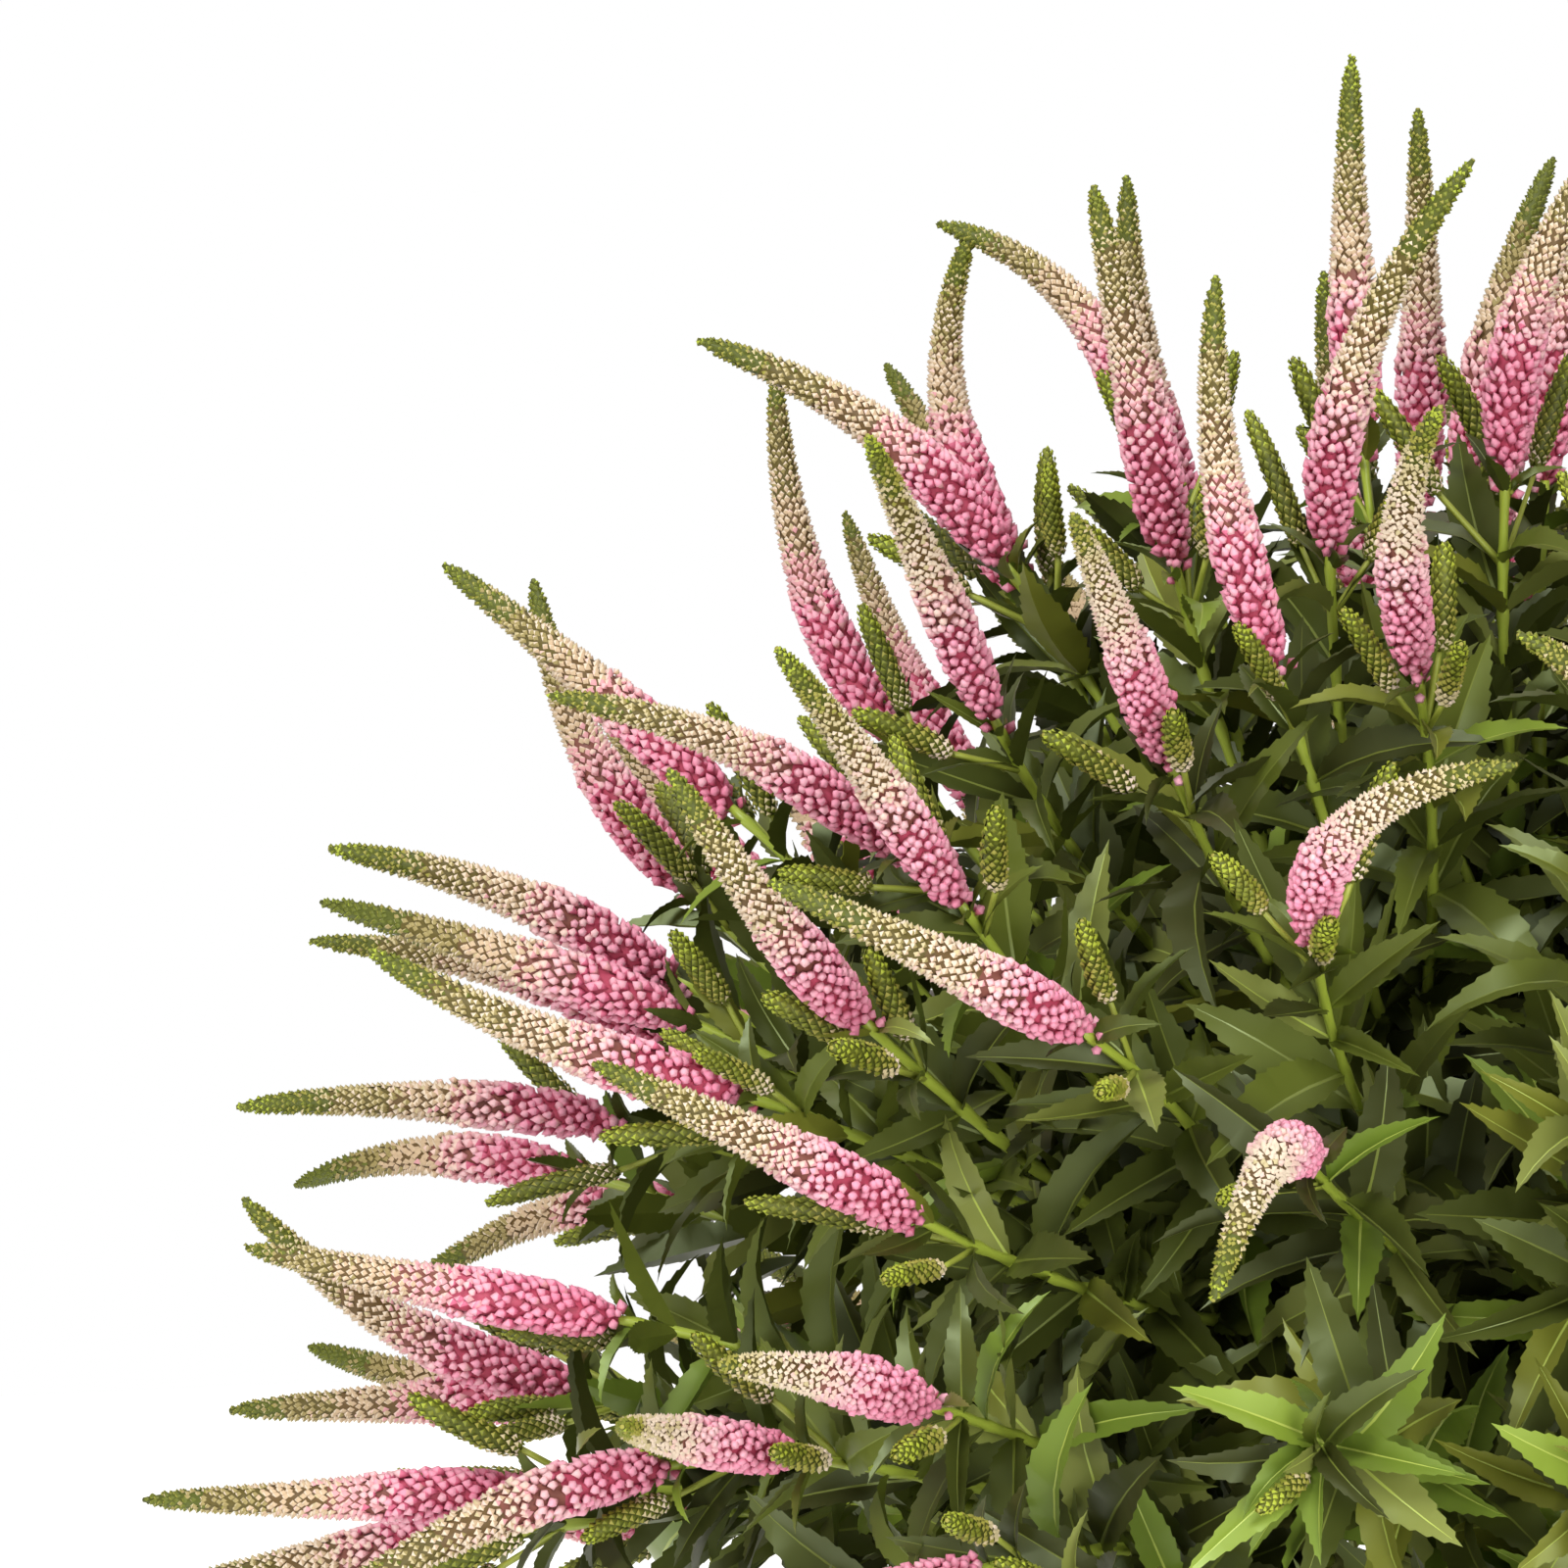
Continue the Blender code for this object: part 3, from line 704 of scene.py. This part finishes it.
def addLeaf(leaves, point, onward, turn, angle, length, rng, shade, height, stemRadius, leafy):
    ahead = tilted(onward, turn, angle)
    ahead = (ahead + Vector((0.0, 0.0, -leaf["droop"] * (1.0 - height)))).normalized()
    face = onward - ahead * onward.dot(ahead)
    face = face + tilted(onward, turn + pi / 2, pi / 2) * jitter(rng, leaf["twist"])
    face = (face - ahead * face.dot(ahead)).normalized()
    bend = rng.uniform(*(leaf["bends"] if rng.random() < leaf["bendChance"] else leaf["lifts"]))
    root = point + ahead * stemRadius * 0.5
    tip = root + ahead * length - face * (0.5 * bend * length)
    middle = root + ahead * (0.5 * length)
    if not (clearOfPot(tip) and clearOfPot(middle)):
        return
    width = length * leaf["slimness"] * rng.uniform(*leaf["widths"])
    fold = rng.uniform(*leaf["folds"])
    colour = pickLeaf(rng, shade, height, leafy)
    curl = jitter(rng, leaf["curl"])
    leaves.append((*root, *ahead, *face, length, width, fold, bend, curl, colour))


def shootPath(grown, axis):
    # points from the mass's foot or fork to the foot of the spike, with their distances
    shares = steps(shoot["stations"])
    stalk = arc(grown["start"], grown["stalkBend"], grown["base"], shares)
    if grown["main"]:
        lead = np.linspace(shoot["massStart"], shoot["stemTop"], shoot["leadStations"])[:-1, None]
        stalk = np.vstack([lead * np.array(axis), stalk])
    lengths = np.linalg.norm(np.diff(stalk, axis=0), axis=1)
    return stalk, np.concatenate([[0.0], np.cumsum(lengths)])


def pointAt(path, run, distance):
    places = np.array((0.0, -shoot["sense"], shoot["sense"])) + distance
    point, behind, ahead = (Vector(row) for row in sample(path, run, places))
    return point, (ahead - behind).normalized()


def growSideSpike(point, onward, turn, rng, bits, buds, stems, scale):
    away = tilted(onward, turn, varied(rng, sprig["lean"]))
    stalkLength = varied(rng, sprig["stalk"])
    length = varied(rng, sprig["length"]) * scale
    base = point + away * stalkLength
    up = (away + onward * sprig["upturn"]).normalized()
    sway = tilted(onward, turn + jitter(rng, sprig["swaySpread"]), pi / 2)
    tip = base + up * length + sway * (sprig["sway"] * length)
    stations = sprig["stalkStations"]
    stalk = arc(point, point + away * (0.5 * stalkLength), base, steps(stations))
    radius = sprig["stalkRadius"]
    radii = np.linspace(radius * sprig["stalkFlare"], radius, stations)
    stems.add(*tube(stalk, radii, sprig["stalkSides"]), 1)
    path = arc(base, base + up * (0.5 * length), tip, steps(sprig["coreStations"]))
    still, growing = sprig["girth"]
    size = (still + growing * scale) * rng.uniform(*sprig["sizes"])
    count = int(sprig["buds"] * scale)
    shares = np.linspace(*sprig["budRun"], count) ** sprig["budPower"]
    places = shares, np.arange(count) * goldenAngle
    spikeCore(buds, path, sprig, size, 0.0)
    spikeBuds(buds, path, sprig, bits, places, size, rng.uniform(*sprig["ages"]))


# How a shoot carries its leaves: whorls at nodes, and a tuft where no flower spike ends it
whorls = dict(
    firstNode=0.010, gap=(0.0143, 0.92, 1.08), steps=(0.85, 1.15), bareEnd=0.012,
    lastNode=0.006, threes=0.86, turnSpread=0.3, leafTurnSpread=0.2, angle=58.0, closing=20.0,
    angleSpread=0.22, length=1.14, shortening=0.30, lengths=(0.80, 1.14),
    topLengths=(0.80, 0.48), leadEnd=0.024, leadGirth=0.8, girth=0.9, swell=0.42,
    swellReach=0.0022, stemSides=5,
)
tuft = dict(
    leaves=9, angle=46.0, closing=3.6, angleSpread=0.1, length=0.92, shortening=0.065,
    lengths=(0.9, 1.1), rise=0.0012, height=(0.5, 0.06), stemRadius=0.001, sprigScale=0.7,
)


def shootNodes(total, rng):
    gap = varied(rng, whorls["gap"])
    nodes = []
    distance = whorls["firstNode"] + rng.uniform(0.0, gap)
    while distance < total - whorls["bareEnd"]:
        nodes.append(distance)
        distance += gap * rng.uniform(*whorls["steps"])
    return nodes + [total - whorls["lastNode"]]


def makeStem(stems, path, run, nodes, main):
    ends = (0.0, run[-1])
    radii = (whorls["girth"] * shoot["radius"], whorls["girth"] * shoot["neckRadius"])
    if main:
        ends = (0.0, whorls["leadEnd"], run[-1])
        leadRadius = whorls["leadGirth"] * shoot["stemTopRadius"]
        radii = (shoot["stemRadius"], leadRadius, shoot["neckRadius"])
    swell = sum(np.exp(-(((run - n) / whorls["swellReach"]) ** 2)) for n in nodes)
    thick = np.interp(run, ends, radii) * (1.0 + whorls["swell"] * swell)
    stems.add(*tube(path, thick, whorls["stemSides"]), 0)


def dressShoot(grown, axis, rng, bits, blossom, buds, stems, leaves, places):
    path, run = shootPath(grown, axis)
    leafy = grown["leafy"]
    shade = rng.choice(shading["leafySprayShades"] if leafy else shading["sprayShades"])
    nodes = shootNodes(run[-1], rng)
    makeStem(stems, path, run, nodes, grown["main"])
    turn = anyTurn(rng)
    for number, distance in enumerate(nodes):
        point, onward = pointAt(path, run, distance)
        height = distance / run[-1]
        whorl = 3 if rng.random() < whorls["threes"] else 2
        turn += pi / whorl + jitter(rng, whorls["turnSpread"])
        left = len(nodes) - 1 - number
        for i in range(whorl):
            angle, length = leafPose(whorls, height, rng)
            if left < 2 and not leafy:
                length *= whorls["topLengths"][1 - left]
            leafTurn = turn + tau * i / whorl + jitter(rng, whorls["leafTurnSpread"])
            addLeaf(leaves, point, onward, leafTurn, angle, length, rng, shade, height,
                    shoot["neckRadius"], leafy)
        if left == 1 and not leafy:
            for i in range(rng.choice(sprig["each"])):
                spikeTurn = turn + tau * i / whorl
                growSideSpike(point, onward, spikeTurn, rng, bits, buds, stems, 1.0)
    onward = (grown["spikeBend"] - grown["base"]).normalized()
    if leafy:
        turn = growTuft(Vector(path[-1]), onward, turn, rng, leaves, shade)
        scale = tuft["sprigScale"]
        growSideSpike(Vector(path[-1]), onward, turn, rng, bits, buds, stems, scale)
    else:
        growSpike(grown, onward, rng, bits, blossom, places)
        looseBuds(blossom, path, run, rng, bits)


def leafPose(rule, place, rng):
    angle = radians(rule["angle"] - rule["closing"] * place) + jitter(rng, rule["angleSpread"])
    length = leaf["length"] * (rule["length"] - rule["shortening"] * place)
    return angle, length * rng.uniform(*rule["lengths"])


def growTuft(base, onward, turn, rng, leaves, shade):
    firstHeight, step = tuft["height"]
    for i in range(tuft["leaves"]):
        angle, length = leafPose(tuft, i, rng)
        turn += goldenAngle
        root = base + onward * (tuft["rise"] * i)
        addLeaf(leaves, root, onward, turn, angle, length, rng, shade, firstHeight + step * i,
                tuft["stemRadius"], True)
    return turn


def growSpike(grown, onward, rng, bits, blossom, places):
    hooked = rng.random() < spike["hookChance"]
    reach = spike["hook"] if hooked else spike["sway"] * sqrt(rng.random())
    sway = tilted(onward, anyTurn(rng), pi / 2) * reach
    shares = steps(spike["coreStations"])
    line = arc(grown["base"], grown["spikeBend"], grown["tip"], shares)
    wave = rng.uniform(0.0, spike["wave"]) * np.sin(pi * shares)
    line = line + np.outer(shares ** spike["swayPower"] - wave, sway)
    if hooked:
        line = line - np.outer(shares**3, onward) * (spike["hookDrop"] * reach)
    age = jitter(rng, spike["ageSpread"])
    scale = rng.uniform(*spike["scales"])
    spikeCore(blossom, line, spike, scale, age)
    spikeBuds(blossom, line, spike, bits, places, scale, age)


looseBud = dict(
    counts=(3, 4, 5, 6, 8), reach=0.008, reachPower=1.5, leans=(40.0, 70.0),
    gaps=(0.0008, 0.0022), length=0.0042, width=0.0028, sizes=(0.85, 1.2),
)


def looseBuds(heap, path, run, rng, bits):
    # a few open flowers that stand apart on the stem below the spike
    count = rng.choice(looseBud["counts"])
    rows = []
    for _ in range(count):
        distance = run[-1] - looseBud["reach"] * rng.random() ** looseBud["reachPower"]
        point, onward = pointAt(path, run, distance)
        turn = anyTurn(rng)
        away = tilted(onward, turn, radians(rng.uniform(*looseBud["leans"])))
        rows.append((point + away * rng.uniform(*looseBud["gaps"]), away, *tangents(away)))
    size = bits.uniform(*looseBud["sizes"], count)
    upper = bits.randint(slotOf["rose"], slotOf["softPink"] + 1, count)
    # their lower faces in painted shade
    lower = np.full(count, slotOf["paintedShadeRose"])
    columns = (np.array(column) for column in zip(*rows))
    addBuds(heap, *columns, looseBud["length"] * size, looseBud["width"] * size, upper, lower)


def dressCrown(masses):
    blossomGroups = dict(  # pieces, by the first mass in each and the first after it
        blossom_crown=(0, 6), blossom_shoulder_a=(6, 10), blossom_shoulder_b=(10, 14),
        blossom_skirt_a=(14, 19), blossom_skirt_b=(19, 24),
    )
    leafGroups = {"leaves_crown": (0, 6), "leaves_shoulder": (6, 14), "leaves_skirt": (14, 24)}
    budMaterials = [plain(*colour, **budSheen) for colour in budColours.items()]
    leafMaterials = [plain(*colour, **leafSheen) for colour in leafColours.items()]
    shootMaterial = plain("shootGreen", shootGreen, Roughness=0.4)
    stemMaterials = [shootMaterial, plain("stalkGreen", stalkGreen, Roughness=0.5)]
    places = budPlaces(spikeRule["length"][0])
    print("buds on a spike:", len(places[0]))
    blossoms = [Heap() for _ in masses]
    leaves = [[] for _ in masses]
    buds = Heap()
    stems = Heap()
    for i, mass in enumerate(masses):
        rng = random.Random(crown["leafSeed"] + i)
        bits = np.random.RandomState(crown["budSeed"] + i)
        heaps = (blossoms[i], buds, stems, leaves[i])
        for grown in mass["shoots"]:
            dressShoot(grown, mass["axis"], rng, bits, *heaps, places)
    nodes = numbered("foliage", masses)
    for name, (first, last) in blossomGroups.items():
        joined = Heap()
        for blossom in blossoms[first:last]:
            if blossom.count:
                joined.add(*blossom.merged())
        finishPiece(joined.piece(name, budMaterials), nodes[first:last])
    for name, (first, last) in leafGroups.items():
        joined = Heap()
        count = sum(fillLeaves(joined, rows) for rows in leaves[first:last])
        print(name, count, "leaves")
        finishPiece(joined.piece(name, leafMaterials), nodes[first:last])
    finishPiece(buds.piece("side_spikes", budMaterials), nodes)
    finishPiece(stems.piece("shoots_and_stalks", stemMaterials), nodes)


def numbered(name, masses):
    return [f"{name}_{i + 1:02d}" for i in range(len(masses))]


def finishPiece(item, nodes):
    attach(item, "root")
    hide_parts(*nodes)


# Boughs with ribs and rings
def makeBoughs(masses):
    look = dict(
        stations=19, sides=10, rings=3.0, ringSwell=0.16, ringWidth=0.09, ribs=4, ribDepth=0.05,
        light=(126, 128, 56), dark=(82, 84, 34), stretch=(1.0, 1.0, 1.0), scale=240.0,
        depth=0.0006, roughness=0.55,
    )
    sides = look["sides"]
    shares = steps(look["stations"])
    rings = np.exp(-(((shares * look["rings"]) % 1.0 - 0.5) / look["ringWidth"]) ** 2)
    radii = between(limb["startRadius"], limb["endRadius"], shares)
    radii = radii * (1.0 + look["ringSwell"] * rings)
    ribs = 1.0 + look["ribDepth"] * np.cos(np.arange(sides) * tau * look["ribs"] / sides)
    ribs = np.tile(ribs, len(shares))
    heap = Heap()
    for mass in masses:
        axis = mass["axis"]
        offset = sideways(axis, mass["boughTurn"]) * (2 * limb["bend"])
        middle = axis * (0.5 * (limb["start"] + limb["end"])) + offset
        path = arc(axis * limb["start"], middle, axis * limb["end"], shares)
        points, faces = tube(path, radii, sides)
        centres = np.repeat(path, sides, axis=0)
        points[:-2] = centres + (points[:-2] - centres) * ribs[:, None]
        heap.add(points, faces, 0)
    item = heap.piece("main_boughs", [barkMaterial("boughGreen", look)])
    finishPiece(item, numbered("bough", masses))


# Woody foot with a root flare and bark ridges
foot = dict(
    soil=0.1823, flare=0.027, flarePower=2.2, flareRings=10, waist=0.0165, waistRise=0.011,
    neck=0.006, head=0.024, headRings=22, headGap=0.05, lobes=5, lobeDepth=0.10, ridges=19,
    ridgeDepth=0.0005, ridgeWander=2.0, wanderScale=120, grainAcross=260, grainUp=60,
    grainDepth=0.0006, smoothTop=0.004, segments=72, light=(122, 104, 66), dark=(58, 46, 28),
    stretch=(1.0, 1.0, 0.25), scale=170.0, depth=0.0012, roughness=0.8,
)


def polar(radius, angle, height):
    return Vector((radius * cos(angle), radius * sin(angle), height))


def turnedPiece(name, profile, segments, material, relief):
    points = []
    for radius, height in profile:
        for angle in [tau * i / segments for i in range(segments)]:
            points.append(relief(polar(radius, angle, height), angle, radius, height))
    points += [polar(0.0, 0.0, profile[end][1]) for end in (0, -1)]
    faces = ringFaces(len(profile), segments)
    return makePiece(name, np.array(points), faces, np.zeros(len(faces)), [material])


def makeFoot():
    waist = foot["soil"] + foot["waistRise"]
    centre = crown["centre"].z
    profile = []
    for t in steps(foot["flareRings"]):
        radius = between(foot["waist"], foot["flare"], (1 - t) ** foot["flarePower"])
        profile.append((radius, foot["soil"] + foot["waistRise"] * t))
    lowest = asin((waist + foot["neck"] - centre) / foot["head"])
    for angle in np.linspace(lowest, pi / 2 - foot["headGap"], foot["headRings"]):
        profile.append((foot["head"] * cos(angle), centre + foot["head"] * sin(angle)))

    def ridges(point, angle, radius, height):
        depth = foot["lobeDepth"] * max(0.0, 1.0 - (height - foot["soil"]) / foot["waistRise"])
        swell = 1.0 + depth * cos(foot["lobes"] * angle)
        across, upward = foot["grainAcross"], foot["grainUp"]
        grain = Vector((point.x * across, point.y * across, height * upward))
        rough = noise.fractal(grain, 1.0, 2.0, 3) * foot["grainDepth"]
        wander = foot["ridgeWander"] * noise.noise(point * foot["wanderScale"])
        ridge = foot["ridgeDepth"] * cos(angle * foot["ridges"] + wander)
        relief = rough + ridge if radius > foot["smoothTop"] else 0.0
        return polar(radius * swell + relief, angle, height)

    material = barkMaterial("woodyBark", foot)
    item = turnedPiece("woody_foot", profile, foot["segments"], material, ridges)
    finishPiece(item, ["trunk"])


# Pot and what fills it
def innerRadius(height):
    slope = (pot["bodyTopRadius"] - pot["footRadius"]) / (pot["height"] - pot["rimDepth"])
    return pot["footRadius"] - pot["wall"] + slope * height


def rounded(points, radius, count):
    # the outline, each of its corners turned by a small arc
    points = np.array(points)
    result = [points[0]]
    for before, corner, after in zip(points, points[1:], points[2:]):
        sides = (np.linalg.norm(end - corner) for end in (before, after))
        cut = min(radius, *(pot["cornerShare"] * side for side in sides))
        start = corner + unit(before - corner) * cut
        end = corner + unit(after - corner) * cut
        result += [arcPoint(start, corner, end, t) for t in steps(count)]
    return result + [points[-1]]


def makePot():
    rimFoot = pot["height"] - pot["rimDepth"]
    outline = [
        (pot["hub"], pot["recess"]),
        (pot["footRadius"] - pot["recessEdge"][0], pot["recess"]),
        (pot["footRadius"] - pot["recessEdge"][1], 0.0),
        (pot["footRadius"] - pot["edge"], 0.0),
        (pot["footRadius"], pot["edge"]),
        (pot["bodyTopRadius"], rimFoot),
        (pot["rimRadius"], rimFoot + pot["rimStep"]),
        (pot["rimRadius"], pot["height"]),
        (innerRadius(pot["height"]), pot["height"]),
        (innerRadius(pot["floor"]), pot["floor"]),
        (pot["hub"], pot["floor"]),
    ]
    profile = rounded(outline, pot["corner"], pot["cornerSteps"])
    fine = [profile[0]]
    for a, b in zip(profile, profile[1:]):
        pieces = max(1, int(dist(a, b) / pot["band"]))
        fine += [a + (b - a) * i / pieces for i in range(1, pieces + 1)]

    def handmade(point, angle, radius, height):
        around = pot["wobbleAround"]
        place = Vector((cos(angle) * around, sin(angle) * around, height * pot["wobbleUp"]))
        wobble = pot["wobble"] * noise.noise(place) if radius > pot["wobbleFrom"] else 0.0
        return polar(radius + wobble, angle, height)

    item = turnedPiece("glazed_pot", fine, pot["segments"], glazeMaterial(), handmade)
    finishPiece(item, ["pot"])


def makeCompost():
    look = dict(
        soil=((74, 54, 36), (26, 18, 12)), crumb=((92, 68, 44), (36, 26, 16)),
        pale=(206, 202, 190), paleRoughness=0.9, top=0.182, dish=0.004, flat=0.036,
        play=0.0006,  # room between the mix and the pot's wall
        lift=0.0003, wallRings=8, topRings=46, topEdge=0.002, smoothEdge=0.003, smoothTop=0.001,
        smoothFoot=1.12, rough=0.0011, roughScale=150, crumbs=1000, grit=90, seeds=(51, 52),
        crumbFoot=1.2, crumbEdge=0.004, crumbSizes=(0.0009, 0.0026), crumbRise=0.25,
        crumbUneven=0.25, crumbScale=(1.0, 1.0, 0.7),
    )
    soil = compostMaterial("compostBrown", *look["soil"])
    crumb = compostMaterial("compostCrumb", *look["crumb"])
    grit = plain("paleGrit", look["pale"], Roughness=look["paleRoughness"])
    edgeTop = look["top"] - look["dish"]
    rim = innerRadius(edgeTop) - look["play"]
    bottom = pot["floor"] + look["lift"]
    profile = [(pot["hub"], bottom), (innerRadius(pot["floor"]) - pot["edge"], bottom)]
    heights = np.linspace(pot["floor"] + pot["edge"], edgeTop, look["wallRings"])
    profile += [(innerRadius(h) - look["play"], h) for h in heights]

    def surface(radius):
        share = max(0.0, (radius - look["flat"]) / (rim - look["flat"]))
        return look["top"] - look["dish"] * share

    reaches = np.linspace(rim - look["topEdge"], pot["hub"], look["topRings"])
    profile += [(r, surface(r)) for r in reaches]

    def crumbly(point, angle, radius, height):
        atEdge = radius > rim - look["smoothEdge"] or height < edgeTop - look["smoothTop"]
        if atEdge or radius < foot["flare"] * look["smoothFoot"]:
            return point
        lift = look["rough"] * noise.fractal(point * look["roughScale"], 1.0, 2.0, 4)
        return Vector((point.x, point.y, point.z + lift))

    heap = Heap()
    rng = random.Random(look["seeds"][0])
    bits = np.random.RandomState(look["seeds"][1])
    corners = [(1, 0, 0), (-1, 0, 0), (0, 1, 0), (0, -1, 0), (0, 0, 1), (0, 0, -1)]
    corners = np.array(corners, float)
    faces = [(0, 2, 4), (2, 1, 4), (1, 3, 4), (3, 0, 4), (2, 0, 5), (1, 2, 5), (3, 1, 5), (0, 3, 5)]
    inner, outer = foot["flare"] * look["crumbFoot"], rim - look["crumbEdge"]
    for number in range(look["crumbs"] + look["grit"]):
        radius = sqrt(rng.uniform(inner**2, outer**2))
        angle = anyTurn(rng)
        size = rng.uniform(*look["crumbSizes"])
        height = surface(radius) + look["crumbRise"] * size
        centre = np.array((radius * cos(angle), radius * sin(angle), height))
        shape = corners * size + bits.normal(0.0, look["crumbUneven"] * size, corners.shape)
        points = centre + shape * look["crumbScale"] - np.array(crown["centre"])
        heap.add(points, faces, 0 if number < look["crumbs"] else 1)
    bed = turnedPiece("potting_mix", profile, pot["segments"], soil, crumbly)
    finishPiece(bed, ["compost"])
    item = heap.piece("potting_crumbs", [crumb, grit], smooth=False)
    finishPiece(item, ["compost"])


# Studio: pale floor, white surround, soft light from above and in front
def makeStudio():
    look = dict(
        floor=1.7, hub=0.05, rings=12, spokes=96, cloudScale=30.0,
        pale=((0.86, 0.86, 0.86, 1), (0.9, 0.9, 0.9, 1)), white=(1.0, 1.0, 1.0, 1.0),
        glow=0.5, roughness=0.9, ambient=0.52, warmth=(1.0, 0.95, 0.82, 1.0),
        lamps=(  # name, place, size and power
            ("keyLight", (-1.2, -2.1, 2.2), 1.1, 57.0),
            ("topLight", (0.3, 0.5, 2.6), 1.6, 20.0),
            ("fillLight", (1.0, -2.6, 0.7), 1.2, 48.0),
        ),
    )
    spokes = look["spokes"]
    turns = np.arange(spokes) * tau / spokes
    rings = np.linspace(look["hub"], look["floor"], look["rings"])
    points = [(0.0, 0.0, 0.0)] + [(r * cos(a), r * sin(a), 0.0) for r in rings for a in turns]
    faces = [(0, 1 + j, 1 + (j + 1) % spokes) for j in range(spokes)]
    for i in range(len(rings) - 1):
        for j in range(spokes):
            a, b = 1 + i * spokes + j, 1 + i * spokes + (j + 1) % spokes
            faces += [(a, a + spokes, b + spokes), (a, b + spokes, b)]
    glow = {"Emission Color": look["white"], "Emission Strength": look["glow"]}
    material, wire, shader = newMaterial("paleFloor", Roughness=look["roughness"], **glow)
    place = wire.node("ShaderNodeTexCoord", out=3)
    connect(wire, shader, Base_Color=clouds(place, look["cloudScale"], 2.0).blend(*look["pale"]))
    slots = np.zeros(len(faces))
    floor = makePiece("pale_floor", np.array(points), np.array(faces), slots, [material])
    world = bpy.data.worlds.new("whiteSurround")
    bpy.context.scene.world = world
    world.use_nodes = True
    wire = Wire(world.node_tree)
    seen = wire.node("ShaderNodeLightPath")  # 1 for what the camera sees of the surround itself
    background = world.node_tree.nodes["Background"]
    wire.feed(background.inputs["Color"], seen.blend(look["warmth"], look["white"]))
    wire.feed(background.inputs["Strength"], seen * (1.0 - look["ambient"]) + look["ambient"])
    for name, place, size, power in look["lamps"]:
        data = bpy.data.lights.new(name, "AREA")
        data.shape = "DISK"
        data.size = size
        data.energy = power
        lamp = bpy.data.objects.new(name, data)
        lamp.location = place
        lamp.rotation_euler = (crown["centre"] - Vector(place)).to_track_quat("-Z", "Y").to_euler()
        bpy.context.scene.collection.objects.link(lamp)


def makeCamera():
    # the crown's centre falls at the picture's lower right, as in the photograph
    look = dict(
        lens=229.9, sensor=36.0, distance=2.6, elevation=radians(10.0), side=1600,
        centre=(1600, 1570),
    )
    data = bpy.data.cameras.new("photoView")
    data.sensor_width = look["sensor"]
    data.lens = look["lens"]
    item = bpy.data.objects.new("photoView", data)
    bpy.context.scene.collection.objects.link(item)
    back = Vector((0.0, -cos(look["elevation"]), sin(look["elevation"])))
    pixels = look["side"] * data.lens / data.sensor_width
    right = (look["centre"][0] - look["side"] / 2) / pixels
    up = (look["side"] / 2 - look["centre"][1]) / pixels
    turn = (-back).to_track_quat("-Z", "Y").to_matrix()
    sight = (-back - turn.col[0] * right - turn.col[1] * up).normalized()
    place = Matrix.Translation(crown["centre"] + back * look["distance"])
    item.matrix_world = place @ sight.to_track_quat("-Z", "Y").to_matrix().to_4x4()
    bpy.context.scene.camera = item
    bpy.context.scene.view_settings.view_transform = "Standard"


makeCamera()
makeStudio()
print("camera and studio are set")
makePot()
makeCompost()
makeFoot()
print("pot, compost and woody foot are made")
crownMasses = growCrown()
makeBoughs(crownMasses)
dressCrown(crownMasses)
print("crown is dressed")
